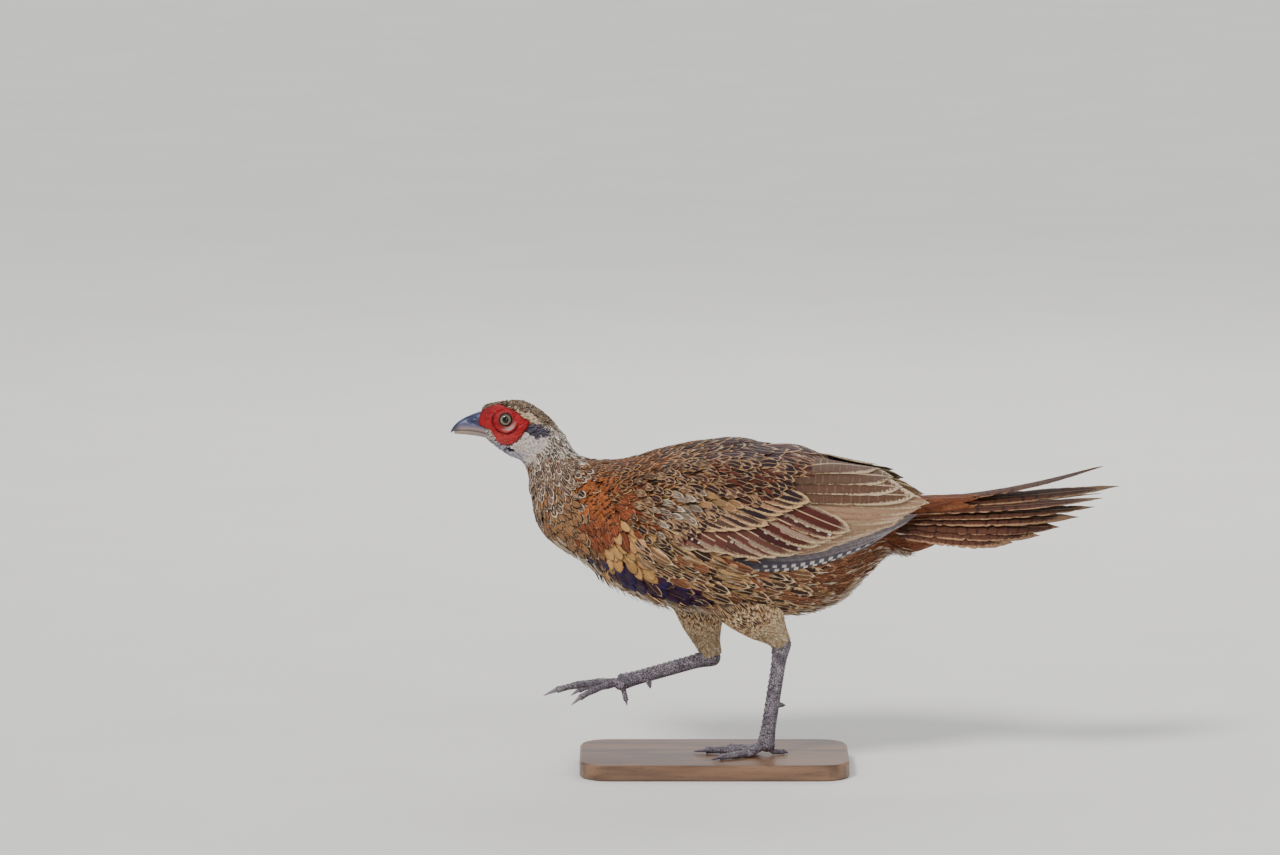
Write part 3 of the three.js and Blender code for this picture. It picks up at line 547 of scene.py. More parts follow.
def marks_of(kinds, rng, vary=0.1):
    """The colour layers for feathers of the given kinds, each a little different."""
    count = len(kinds)
    tone = 1 + vary * rng.standard_normal((count, 1))
    warm = 1 + 0.2 * vary * rng.standard_normal((count, 3))
    ground, mark, edge = [np.clip(c[kinds] * tone * warm, 0, 1) for c in KIND_COLOURS]

    def fixed(name):
        return np.array([row[name] for row in KINDS.values()], float)[kinds]

    def loose(name, spread):
        return fixed(name) * np.clip(1 + spread * rng.standard_normal(count), 0, 1.6)

    arrow = fixed("arrow") * (rng.random(count) < 0.7)
    layers = {
        "Centre": [ground, np.minimum(loose("crescent", 0.3), 1)],
        "Mark": [mark, fixed("bars")],
        "Fringe": [edge, loose("fringe", 0.4)],
        "Amount": [fixed("number") / MOST_BARS, arrow, fixed("gloss"), rng.random(count)],
        "Shape": [fixed("band"), np.minimum(loose("streak", 0.2), 1), loose("core", 0.2),
                  loose("spots", 0.6)],
    }
    return {name: np.column_stack(columns) for name, columns in layers.items()}


# Materials


class Value:
    """An output of a node, on which sums and products make more nodes."""

    def __init__(self, nodes, socket):
        self.nodes = nodes
        self.socket = socket

    def __add__(self, other):
        return self.nodes.math("ADD", self, other)

    def __sub__(self, other):
        return self.nodes.math("SUBTRACT", self, other)

    def __rsub__(self, other):
        return self.nodes.math("SUBTRACT", other, self)

    def __mul__(self, other):
        return self.nodes.math("MULTIPLY", self, other)

    def __abs__(self):
        return self.nodes.math("ABSOLUTE", self)

    def sine(self):
        return self.nodes.math("SINE", self)

    def ramp(self, low, high, to_low=0.0, to_high=1.0):
        values = (self, low, high, to_low, to_high)
        return self.nodes.chain("ShaderNodeMapRange", values, interpolation_type="SMOOTHSTEP")


class Nodes:
    """A material's node tree, built a step at a time."""

    def __init__(self, name):
        self.material = bpy.data.materials.new(name)
        self.material.use_nodes = True
        self.tree = self.material.node_tree
        self.shader = self.tree.nodes["Principled BSDF"]

    def add(self, kind, inputs=None, **settings):
        """A new node, with its inputs by name or number."""
        node = self.tree.nodes.new(kind)
        for key, value in settings.items():
            setattr(node, key, value)
        for key, value in (inputs or {}).items():
            self.feed(node.inputs[key], value)
        return node

    def feed(self, socket, value):
        if isinstance(value, Value):
            self.tree.links.new(value.socket, socket)
        elif hasattr(socket.default_value, "__len__"):
            size = len(socket.default_value)
            socket.default_value = (*value, 1.0)[:size]
        else:
            socket.default_value = value

    def value(self, kind, output, inputs=None, **settings):
        return Value(self, self.add(kind, inputs, **settings).outputs[output])

    def chain(self, kind, values, **settings):
        """The first output of a node whose first inputs are the values."""
        return self.value(kind, 0, dict(enumerate(values)), **settings)

    def math(self, operation, *values):
        return self.chain("ShaderNodeMath", values, operation=operation)

    def mix(self, share, first, second, blend="MIX"):
        inputs = {0: share, 6: first, 7: second}
        return self.value("ShaderNodeMix", 2, inputs, data_type="RGBA", blend_type=blend)

    def noise(self, scale, detail, vector):
        inputs = {"Scale": scale, "Detail": detail, "Vector": vector}
        return self.value("ShaderNodeTexNoise", "Fac", inputs)

    def cells(self, scale, **settings):
        inputs = {"Scale": scale, "Vector": self.place()}
        return self.value("ShaderNodeTexVoronoi", "Distance", inputs, **settings)

    def place(self, scale=None):
        """Places on the object in metres, stretched by a scale for each axis."""
        place = self.value("ShaderNodeTexCoord", "Object")
        if scale is None:
            return place
        return self.value("ShaderNodeMapping", 0, {"Vector": place, "Scale": scale})

    def layer(self, name="Centre"):
        """The colour and the fourth number of a colour layer."""
        outputs = self.add("ShaderNodeVertexColor", layer_name=name).outputs
        return Value(self, outputs["Color"]), Value(self, outputs["Alpha"])

    def split(self, kind, whole):
        outputs = self.add(kind, {0: whole}).outputs
        return [Value(self, output) for output in outputs]

    def finish(self, base, roughness=0.6, bump=None, distance=0.0002, strength=0.5, **constant):
        self.feed(self.shader.inputs["Base Color"], base)
        self.feed(self.shader.inputs["Roughness"], roughness)
        for key, value in constant.items():
            self.shader.inputs[key.replace("_", " ")].default_value = value
        if bump is not None:
            inputs = {"Strength": strength, "Distance": distance, "Height": bump}
            self.feed(self.shader.inputs["Normal"], self.value("ShaderNodeBump", 0, inputs))
        return self.material


def feather_material(name, barbs=60.0, roughness=0.62, bar_low=0.1, lower_bars=1.0, spots=False,
                     shaft=0.5, end_shade=1.0):
    """Vane markings from the layers of each feather and its own unwrap."""
    n = Nodes(name)
    ground, crescent_share = n.layer("Centre")
    mark, bar_share = n.layer("Mark")
    edge, fringe_share = n.layer("Fringe")
    amount, seed = n.layer("Amount")
    shape, dot_share = n.layer("Shape")
    number, arrow, gloss = n.split("ShaderNodeSeparateColor", amount)
    band, streak, core = n.split("ShaderNodeSeparateColor", shape)
    vane = n.value("ShaderNodeUVMap", "UV", uv_map="Vane")
    web, run, _ = n.split("ShaderNodeSeparateXYZ", vane)
    side = abs(web * 2.0 - 1.0)
    drift = n.noise(700.0, 3.0, n.place())
    wobble = drift * 0.3 - 0.15

    # A fringe all round, and a crescent inside it
    tip = n.math("MAXIMUM", run * 2.0 - 1.0, 0.0)
    reach = n.math("SQRT", side * side + tip * tip) + wobble
    limit = 1.0 - fringe_share
    fringe = (reach - limit).ramp(-0.07, 0.07)
    crescent = (reach - (limit - band)).ramp(-0.08, 0.1) * crescent_share

    # A streak along the shaft
    middle = (side + wobble - core).ramp(-0.1, 0.14, 1.0, 0.0)
    middle = middle * run.ramp(0.1, 0.4) * run.ramp(0.95, 0.84) * streak

    # Cross bars, broken here and there
    wave = run * number * ALL_BARS + side * -1.6 + seed * TURN + wobble * 8.0
    bars = wave.sine().ramp(bar_low, bar_low + 0.45) * bar_share
    bars = bars * n.noise(190.0, 2.0, n.place()).ramp(0.4, 0.58, 0.15, 1.0)
    if lower_bars < 1:
        bars = bars * web.ramp(0.4, 0.6, lower_bars, 1.0)

    # A pale arrow near the tip, and a row of pale dots
    bend = abs(side * 0.55 + run - 0.68)
    chevron = (bend + wobble).ramp(0.02, 0.08, 1.0, 0.0) * side.ramp(0.6, 0.4) * arrow
    beat = (run * 52.0 + seed * TURN).sine()
    dots = abs(side - 0.22).ramp(0.06, 0.16, 1.0, 0.0) * beat.ramp(0.45, 0.85)
    dots = dots * run.ramp(0.35, 0.5) * dot_share * web.ramp(0.5, 0.42)

    painted = [(crescent, mark), (middle, mark), (bars, mark)]
    if spots:
        spot = (run * 110.0).sine().ramp(-0.1, 0.4) * web.ramp(0.26, 0.14)
        painted.append((spot * run.ramp(0.12, 0.2), mark))
    line = side.ramp(0.03, 0.07, 1.0, 0.0) * shaft * run.ramp(1.0, 0.85)
    painted += [(chevron, edge), (dots, colour("e9dfd2")), (fringe, edge), (line, edge)]
    base = ground
    for share, tone in painted:
        base = n.mix(share, base, tone)

    # Barbs, painted shade towards the root where other feathers lie over it, and darker towards the
    # end
    fray = ((side * -0.5 + run) * (barbs * TURN)).sine()
    shade = fray * 0.07 + (drift * 0.7 + 0.64)
    shade = shade * run.ramp(0.0, 0.45, 0.5, 1.0) * run.ramp(0.55, 1.0, 1.0, end_shade)
    tint = n.chain("ShaderNodeCombineColor", (shade, shade, shade))
    base = n.mix(1.0, base, tint, "MULTIPLY")
    return n.finish(base, gloss * -0.34 + roughness, fray, 0.00006, 0.6, Specular_IOR_Level=0.2)


def skin_material():
    n = Nodes("skin_under_feathers")
    tone, _ = n.layer()
    fleck = n.noise(420.0, 4.0, n.place()).ramp(0.35, 0.65)
    base = n.mix(fleck, tone, n.mix(0.55, tone, colour("3a2a22")))
    return n.finish(base, 0.8, fleck, 0.0003, 0.5, Specular_IOR_Level=0.2)


def wattle_material():
    n = Nodes("wattle_skin")
    tone, _ = n.layer()
    cell = n.cells(900.0)
    soft = n.noise(220.0, 4.0, n.place())
    base = n.mix(cell.ramp(0.35, 0.8) * 0.55, tone, colour("5a0d12"))
    base = n.mix(soft.ramp(0.5, 0.8, 0.0, 0.25), base, colour("cc3a32"))
    return n.finish(base, soft.ramp(0.2, 0.8, 0.45, 0.65), cell.ramp(0.1, 0.6, 1.0, 0.0), 0.0005,
                    1.0, Subsurface_Weight=0.1, Subsurface_Scale=0.002, Specular_IOR_Level=0.3)


def claw_material():
    """Horn that is paler higher up, with fine growth lines."""
    n = Nodes("claw_horn")
    height = n.split("ShaderNodeSeparateXYZ", n.place())[2]
    lines = n.noise(3.0, 5.0, n.place((90.0, 500.0, 500.0)))
    share = height.ramp(0.012, 0.018) + (lines * 0.4 - 0.2)
    base = n.mix(share, colour("3b343a"), colour("6a6068"))
    base = n.mix(lines.ramp(0.5, 0.8, 0.0, 0.4), base, colour("c9bfae"))
    return n.finish(base, lines.ramp(0.2, 0.8, 0.3, 0.52), lines, 0.00015, 0.5,
                    Specular_IOR_Level=0.5)


def bill_material():
    """Slate horn, painted by place, with fine growth lines along it."""
    n = Nodes("bill_horn")
    tone, _ = n.layer()
    lines = n.noise(3.0, 5.0, n.place((120.0, 500.0, 700.0)))
    base = n.mix(lines.ramp(0.35, 0.7, 0.0, 0.35), tone, n.mix(0.5, tone, colour("14131c")))
    return n.finish(base, lines.ramp(0.2, 0.8, 0.3, 0.5), lines, 0.00012, 0.5,
                    Specular_IOR_Level=0.5)


def leg_material():
    n = Nodes("scaly_leg")
    tone, _ = n.layer()
    groove = n.cells(620.0, feature="DISTANCE_TO_EDGE").ramp(0.02, 0.2)
    dust_and_painted_glints = n.noise(300.0, 5.0, n.place())
    base = n.mix(groove, colour("241e26"), tone)
    # Paler patches, partly dust and partly painted glints on the scales
    base = n.mix(dust_and_painted_glints.ramp(0.5, 0.75, 0.0, 0.35), base, colour("b3aaa8"))
    return n.finish(base, dust_and_painted_glints.ramp(0.3, 0.7, 0.42, 0.62), groove, 0.00025, 0.6,
                    Specular_IOR_Level=0.45)


def eye_material():
    n = Nodes("eye_surface")
    tone, _ = n.layer()
    spokes = n.noise(1500.0, 4.0, n.place()).ramp(0.3, 0.7, 0.0, 0.6)
    base = n.mix(spokes, tone, colour("6b5d52"), "MULTIPLY")
    return n.finish(base, 0.02, Specular_IOR_Level=0.35)


def wood_material():
    n = Nodes("base_wood")
    place = n.place((4.0, 38.0, 38.0))
    grain, pores = n.noise(2.2, 6.0, place), n.noise(22.0, 3.0, place)
    base = n.mix(grain.ramp(0.35, 0.65), colour("4e3626"), colour("7b5a41"))
    base = n.mix(pores.ramp(0.55, 0.75, 0.0, 0.5), base, colour("2e1f17"))
    return n.finish(base, grain.ramp(0.3, 0.7, 0.34, 0.5), pores, 0.0001, 0.4, Coat_Weight=0.2)


def floor_material():
    n = Nodes("pale_floor")
    base = n.mix(n.noise(6.0, 3.0, n.place()), colour("dcdad5"), colour("e6e4df"))
    return n.finish(base, 0.9, Specular_IOR_Level=0.1)


FEATHER = feather_material("body_feathers")
HEAD_FEATHER = feather_material("head_feathers", barbs=20.0, roughness=0.7)
FLIGHT = feather_material("flight_feathers", barbs=90.0, roughness=0.52, bar_low=0.7,
                          lower_bars=0.2, shaft=0.8)
TAIL = feather_material("tail_vanes", barbs=150.0, roughness=0.6, bar_low=0.55, end_shade=0.5)
PRIMARY = feather_material("primary_feathers", barbs=90.0, roughness=0.5, spots=True, shaft=0.4)
WATTLE = wattle_material()
EYE_SURFACE = eye_material()
LEG_SKIN = leg_material()
BILL = bill_material()
CLAW_HORN = claw_material()


def dress(made, material, slot, *nodes):
    """Gives a piece its material and its body, and hides the nodes that it stands for. The slot is not
    used.
    """
    made.data.materials.clear()
    made.data.materials.append(material)
    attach(made, "root")
    if nodes:
        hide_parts(*nodes)
    return made


# Coat of the head, neck and body


def rows_over(start, end, pitch, spacing, seed, surface=on_coat):
    """Roots of feathers in rows round the body from one station to another.

    Pitch and spacing give the distances between rows and within a row, in mm, by station. The
    rows keep their order, so that each can have its strip of the unwrap.
    """
    rng = np.random.default_rng(seed)
    ring = np.linspace(-180, 180, 73)
    at, rows = start, []
    while at < end:
        points = surface(np.full_like(ring, at), ring)
        girth = np.concatenate([[0], np.cumsum(np.linalg.norm(np.diff(points, axis=0), axis=1))])
        count = max(3, int(girth[-1] / spacing(at)))
        shares = (np.arange(count) + 0.5 * (len(rows) % 2) + 0.25 * rng.random(count)) / count
        angle = np.interp(shares * girth[-1], girth, ring)
        step = length_of(surface(at + 0.05, 90.0) - surface(at - 0.05, 90.0))[0] / 0.1
        advance = pitch(at) / step
        rows.append(np.column_stack([at + 0.3 * advance * rng.standard_normal(count), angle]))
        at += advance
    return joined_rows(rows)


def coat(name, roots, counts, kinds, length, width, keep=slice(None), *, material=FEATHER,
         slot="plumage", heading=0.0, lift=1.2, roll=0.3, seed=5, surface=on_coat, **settings):
    """A coat of feathers over the body, with the rows' own strips of the unwrap."""
    rng = np.random.default_rng(seed)
    corner, size = row_cells(counts)
    at, angle = roots.T
    count = len(at)
    turn = heading + 5 * rng.standard_normal(count)
    length = length * (1 + 0.1 * rng.standard_normal(count))
    width = width * (1 + 0.08 * rng.standard_normal(count))
    marks = marks_of(kinds, rng)
    lift = lift * (1 + 0.2 * rng.standard_normal(count))
    roll = roll * np.where(rng.random(count) < 0.5, -1, 1)
    place = on_surface(surface, BODY_STEP, 1, at[keep], angle[keep], turn[keep])
    made = feathers(name, place, length[keep], width[keep],
                    {layer: values[keep] for layer, values in marks.items()},
                    (corner[keep], size[keep]), lift=lift[keep], roll=roll[keep], seed=seed,
                    **settings)
    return dress(made, material, slot)


def wattle_outline(count):
    """Points of the outline of the bare red skin, at even angles round the eye."""
    corners = np.array([
        (-178.2, 246.5), (-177.6, 253), (-175, 257.8), (-169, 260.6), (-158, 259.4),
        (-152, 257), (-146.5, 253), (-140.6, 249.6), (-144.6, 243), (-148, 238.5),
        (-153, 233.8), (-158.5, 232), (-163.4, 232.6), (-166.8, 237.2), (-169.4, 243.4),
        (-173.8, 244.4),
    ])
    reach = corners - (EYE["x"], EYE["z"])
    angle = np.arctan2(reach[:, 1], reach[:, 0])
    order = np.argsort(angle)
    angle, far = angle[order], np.hypot(*reach[order].T)
    turn = np.linspace(-np.pi, np.pi, count, endpoint=False)
    return turn, np.interp(turn, angle, far, period=2 * np.pi)


def in_wattle(points, margin):
    """Whether points lie within the wattle's outline in the side view, less a margin in mm."""
    turn, far = wattle_outline(180)
    dx, dz = points[..., 0] - EYE["x"], points[..., 2] - EYE["z"]
    limit = np.interp(np.arctan2(dz, dx), turn, far, period=2 * np.pi) - margin
    return np.hypot(dx, dz) < limit


def head_coat():
    def on_head(at, angle):
        return on_body(at, angle, -0.5)

    roots, counts = rows_over(-0.1, NECK_TOP + 0.3, lambda at: 1.1 + 0.18 * at,
                              lambda at: 1.3 + 0.2 * at, 11, on_head)
    at, angle = roots.T
    rng = np.random.default_rng(12)
    points, tips = on_head(at, angle), on_head(at + 0.12, angle)
    keep = ~in_wattle(points, 0.2) & ~in_wattle(tips, 1.4) & (at > -0.05)
    keep &= (points[:, 0] > -174.6) | (points[:, 2] > 257) | (points[:, 2] < 240)
    kinds = kinds_at(points, HEAD_PLACES, "nape", rng)
    ear, bristle = kinds == KIND_ROW["ear"], kinds == KIND_ROW["bristle"]
    length = np.interp(at, [0, 1, 2, 3, 4], [2.0, 3.0, 4.0, 4.8, 5.4])
    length = np.where(ear, 5.6, np.where(bristle, 3.4, length))
    width = np.where(ear | bristle, 1.4, length * 0.5)
    heading = np.where(ear, -34.0, -14 * (at < 3)) * np.sign(angle) * ramp(np.abs(angle), 30, 70)
    coat("coat_head", roots, counts, kinds, length, width, keep, material=HEAD_FEATHER,
         slot="crown", surface=on_head, heading=heading, grid=(5, 3), lift=np.where(ear, 1.9, 0.9),
         camber=0.15, thick=0.12, seed=13)


def neck_coat():
    roots, counts = rows_over(NECK_TOP - 0.1, 6.6, lambda at: 2.0 + 0.9 * (at - 3.6),
                              lambda at: 2.4 + 0.95 * (at - 3.6), 21)
    at, angle = roots.T
    rng = np.random.default_rng(22)
    places = [HEAD_PLACES[0]] + BODY_PLACES[2:6]
    kinds = kinds_at(on_coat(at, angle), places, "mantle", rng)
    length = np.interp(at, [3.5, 4.5, 5.5, 6.6], [5.5, 7.5, 10.0, 12.5])
    coat("coat_neck", roots, counts, kinds, length, length * 0.52, grid=(6, 5), lift=1.3,
         camber=0.3, ragged=0.12, seed=23)


def torso_coat():
    stations = [6, 8, 10, 14]
    roots, counts = rows_over(6.2, 14.4, lambda at: np.interp(at, stations, [3.6, 5.6, 7.4, 5.8]),
                              lambda at: np.interp(at, stations, [4.2, 6.2, 7.8, 5.8]), 31)
    at, angle = roots.T
    points = on_coat(at, angle)
    x, turn = points[:, 0], np.abs(angle)
    rng = np.random.default_rng(32)
    kinds = kinds_at(points, BODY_PLACES, "mantle", rng)
    # The middle of the belly is pale, and wine-red feathers mix with the violet ones
    under = turn + 6 * rng.standard_normal(len(at)) > 149
    kinds = np.where(under & (x < 60), KIND_ROW["belly"], kinds)
    wine = (kinds == KIND_ROW["violet"]) & (rng.random(len(at)) < 0.45)
    kinds = np.where(wine, KIND_ROW["maroon"], kinds)
    # No feathers under the folded wings, nor between their tips and the tail
    under_wing = (x > -50) & (x < 78) & (turn > 66) & (turn < 94)
    under_wing |= (at > 13.5) & (turn > 52) & (turn < 125)
    length = np.interp(at, [6, 7, 8, 9, 10, 11, 12, 13, 14.4], [12, 14, 18, 23, 27, 28, 28, 28, 30])
    low = ramp(turn, 80, 110)
    length = length * (1 + 0.25 * low * ramp(at, 8.4, 9.4))
    width = length * np.interp(at, [6, 8, 10, 12, 14], [0.54, 0.52, 0.46, 0.4, 0.36])
    fluffy = np.isin(kinds, [KIND_ROW[name] for name in ("vent", "down", "belly")])
    width = np.where(fluffy, width * 0.62, width)
    at_breast = hump((x + 76, 28)) * ramp(turn, 60, 90)
    heading = np.sign(angle) * (8 + 38 * at_breast) * ramp(turn, 30, 80) * (1 - ramp(turn, 130, 165))
    for name, part, seed in (("coat_back", turn < 92, 33), ("coat_breast", turn >= 92, 34)):
        coat(name, roots, counts, kinds, length, width, ~under_wing & part, heading=heading,
             grid=(8, 5), lift=np.where(low > 0.5, 2.0, 1.7), camber=0.7, curl=0.5, ragged=0.2,
             thick=0.2, seed=seed)


def soft_down():
    """Loose wisps of down at the vent, the belly and above the legs."""
    rng = np.random.default_rng(41)
    at = rng.uniform(7.2, 14.2, DOWN_COUNT)
    angle = rng.uniform(118, 180, DOWN_COUNT) * np.where(rng.random(DOWN_COUNT) < 0.5, -1, 1)
    kinds = kinds_at(on_coat(at, angle), BODY_PLACES, "belly", rng)
    low = np.abs(angle) > 150
    pale = rng.random(DOWN_COUNT) < np.where(low, 0.4, 0.12)
    kinds = np.where(pale, KIND_ROW["down"], kinds)
    rear = at > 10.6
    keep = (rear | (rng.random(DOWN_COUNT) < 0.4)) & ((at > 8.6) | low)
    order = np.argsort(at)
    coat("coat_down", np.column_stack([at, angle])[order], [50] * (DOWN_COUNT // 50),
         kinds[order], np.where(rear, 17.0, 11.0)[order], np.full(DOWN_COUNT, 2.2), keep[order],
         shape="wisp", grid=(6, 3), lift=2.2, curl=3.0, camber=0.1, thick=0.15, seed=42)


def tail_coverts():
    """Long soft feathers over and under the root of the tail."""
    roots, counts = rows_over(13.2, 16.4, lambda at: 4.6, lambda at: 5.0, 51, on_body)
    at, angle = roots.T
    points = on_body(at, angle)
    rng = np.random.default_rng(52)
    kinds = kinds_at(points, BODY_PLACES[-2:], "rump", rng)
    length = 30 * (0.6 + 0.95 * rng.random(len(at)))
    length = np.minimum(length, 189 - points[:, 0] - 10 * rng.random(len(at)))
    coat("coat_tail_coverts", roots, counts, kinds, length, np.full(len(at), 8.0),
         surface=on_body, grid=(10, 5), lift=0.9, camber=0.5, curl=-0.9, ragged=0.3, thick=0.2,
         seed=53, slot="tail")


def flank_coat():
    """Long streaked feathers of the flanks, over the lower front edge of each wing."""
    rng = np.random.default_rng(90)
    rows = []
    for row, at in enumerate(np.arange(7.4, 10.7, 0.15)):
        for side in (LEFT, RIGHT):
            angle = side * (np.linspace(92, 142, 10) + 3 * (row % 2) + rng.uniform(-2, 2, 10))
            rows.append(np.column_stack([at + 0.05 * rng.standard_normal(10), angle]))
    roots, counts = joined_rows(rows)
    at, angle = roots.T
    points = on_coat(at, angle)
    length = np.interp(at, [7.4, 9, 10.7], [22, 31, 36])
    tip_x, tip_z = points[:, 0] + 0.9 * length, points[:, 2] - 0.35 * length
    wing_edge = np.interp(tip_x, [-57, -15, 18, 59, 100], [176, 163, 148, 139, 142])
    violet = kinds_at(np.stack([tip_x, 0 * at, tip_z], -1), [BODY_PLACES[7]], "flank")
    keep = (tip_z < wing_edge) & (tip_x > -44) & (tip_x < 74) & (violet == KIND_ROW["flank"])
    kinds = np.where(rng.random(len(at)) < 0.12, KIND_ROW["vent"], KIND_ROW["flank"])
    coat("coat_flanks", roots, counts, kinds, length, length * 0.34, keep, grid=(10, 5),
         shape="lance", heading=np.sign(angle) * 20, lift=3.4, camber=0.8, curl=0.6, ragged=0.25,
         seed=91)


# Wings

WING_TIERS = [
    # name, kind, material, count, width, lift, bow at both ends and roll, then (x, z) points of
    # the lines that the roots and the tips of the vanes follow
    ("primaries", "primary", PRIMARY, 6, 15, -2.6, (-5, -11), -0.9,
     [(36, 168), (2, 152)], [(140, 181), (124, 171)]),
    ("secondaries", "secondary", FLIGHT, 9, 19, 0.6, (0, -2), -1.1,
     [(44, 204), (18, 168)], [(150, 189), (130, 180), (88, 169)]),
    ("tertials", "tertial", FLIGHT, 4, 19, 2.6, (3, 0), -1.1,
     [(36, 219), (30, 204)], [(116, 212), (142, 194)]),
    ("greater_coverts", "greater", FLIGHT, 12, 17, 3.0, (-2, -3), -1.0,
     [(30, 204), (-10, 193), (-48, 185)], [(94, 170), (68, 158), (32, 156), (-10, 166)]),
    ("median_coverts", "covert", FEATHER, 12, 13, 3.8, (-1, -1), -0.9,
     [(16, 213), (-56, 195)], [(64, 190), (30, 175), (-22, 173)]),
]


def along_curve(points, share):
    """Places at shares of the way along a line of (x, z) points."""
    points = np.array(points, float)
    at = np.linspace(0, 1, len(points))
    return np.stack([np.interp(share, at, column) for column in points.T], -1)


def wing_tier(side, tier):
    """One tier of a folded wing's long feathers."""
    name, kind_name, material, count, width, lift, bow, roll, roots, tips = tier
    rng = np.random.default_rng(60 + count + (side > 0))
    share = np.linspace(0, 1, count)
    root = along_curve(roots, share) + 0.5 * rng.standard_normal((count, 2))
    tip = along_curve(tips, share) + (1.4, 0.6) * rng.standard_normal((count, 2))
    surface = wing_surface(side)
    reach = surface(*tip.T) - surface(*root.T)
    heading = np.degrees(np.arctan2(reach[:, 2], reach[:, 0]))
    kinds = np.full(count, KIND_ROW[kind_name])
    if kind_name == "greater":
        kinds[1::3] = KIND_ROW["chestnut"]
    if kind_name == "primary":
        kinds[:-2] = KIND_ROW["inner"]
    place = on_surface(surface, WING_STEP, -side, *root.T, heading, np.interp(share, [0, 1], bow))
    made = feathers(f"{name}_{WORDS[side]}", place, length_of(reach)[:, 0] * 1.01,
                    width * (1 + 0.05 * rng.standard_normal(count)), marks_of(kinds, rng, 0.08),
                    row_cells([count]), shape="blade", grid=(24, 9), lift=lift - 0.12 * share,
                    sink=2.0, roll=roll, camber=0.5, thick=0.3, ragged=0.1, seed=70)
    dress(made, material, "wing")


def lesser_coverts(side):
    """Short feathers in close rows over the front and top of a wing."""
    rng = np.random.default_rng(80 + (side > 0))
    front, rear, pitch = -68.0, 40.0, 6.2
    x, rows = front, []
    while x < rear:
        share = (x - front) / (rear - front)
        top = np.interp(x, [-68, -40, 0, 40], [209, 218, 221, 217])
        low = np.interp(x, [-68, -50, -30, 0, 40], [180, 166, 178, 197, 208])
        count = max(4, int((top - low) / 5.4))
        z = np.linspace(low, top, count) + rng.uniform(-0.8, 0.8, count)
        z = z + (len(rows) % 2) * 2.0
        rows.append(np.column_stack([x + 10 * (z - low) / 60 + rng.uniform(-1, 1, count), z]))
        x += pitch * (0.85 + 0.3 * share)
    roots, counts = joined_rows(rows)
    count = len(roots)
    surface = wing_surface(side)
    places = [("rufous", 22, 207, 30, 9, -14, 0.45), ("tan", -8, 196, 17, 6, -12, 0.45),
              ("pin", -38, 192, 15, 9, 20, 0.55)]
    kinds = kinds_at(surface(*roots.T), places, "covert", rng)
    length = np.interp(roots[:, 0], [-68, 40], [11.5, 19.5])
    length = length * (1 + 0.1 * rng.standard_normal(count))
    heading = 6 * rng.standard_normal(count) - 22
    place = on_surface(surface, WING_STEP, -side, *roots.T, heading)
    slim = np.where(np.isin(kinds, [KIND_ROW["pin"], KIND_ROW["tan"]]), 0.34, 0.5)
    made = feathers(f"lesser_coverts_{WORDS[side]}", place, length, length * slim,
                    marks_of(kinds, rng), row_cells(counts), lift=4.9, sink=1.0, roll=0.4,
                    camber=0.5, thick=0.2, ragged=0.2, seed=85)
    dress(made, FEATHER, "wing")


# Tail

TAIL_FEATHERS = [
    # from and to as x, reach to the side and z, then tilt, bend and width
    ((122, 7.2, 183.4), (283, 12, 193), 14, -2, 15),
    ((122, 7.7, 181.1), (277, 16, 187), 21, -2, 16),
    ((122, 8.4, 178.8), (265, 20, 180), 29, -1, 17),
    ((122, 9.2, 176.5), (251, 23.5, 173), 37, -1, 18),
    ((122, 10, 174.2), (236, 26.5, 167), 45, 0, 18),
    ((122, 10.8, 171.9), (216, 28.5, 162), 53, 0, 18),
]
TAIL_MIDDLE = [
    ((122, 0, 187.4), (296, 1, 200), -24, -2, 15),
    ((122, 1, 189.3), (284, 3, 214.5), -6, -6, 14),
]


def tail():
    """The separate tail feathers, each straight but for its bend."""
    rows = [(RIGHT, row) for row in TAIL_MIDDLE]
    rows += [(side, row) for side in (LEFT, RIGHT) for row in TAIL_FEATHERS]
    start, end = [
        np.array([row[i] * np.array((1, side, 1)) for side, row in rows], float) for i in (0, 1)
    ]
    tilt = np.radians([side * row[2] for side, row in rows])
    bend, width = [np.array([row[i] for _, row in rows], float) for i in (3, 4)]
    reach = end - start
    along = unit(reach)
    across = unit(np.cross(np.stack([0 * tilt, np.sin(tilt), np.cos(tilt)], -1), along))
    facing = np.cross(along, across)

    def place(t, p, q):
        sag = (bend[CELL] * 4 * t * (1 - t))[..., None] * np.array([0, 0, 1.0])
        points = start[CELL] + along[CELL] * p[..., None] + across[CELL] * q[..., None] + sag
        return points, facing[CELL] + 0 * points

    rng = np.random.default_rng(100)
    kinds = np.full(len(rows), KIND_ROW["tail"])
    made = feathers("tail_feathers", place, length_of(reach)[:, 0], width * 1.12,
                    marks_of(kinds, rng, 0.08), row_cells([4, 4, 6]), shape="tail", grid=(44, 9),
                    sink=0.0, lift=0.0, camber=0.8, thick=0.35, ragged=0.2, seed=101)
    dress(made, TAIL, "tail", "tail")


# Skin


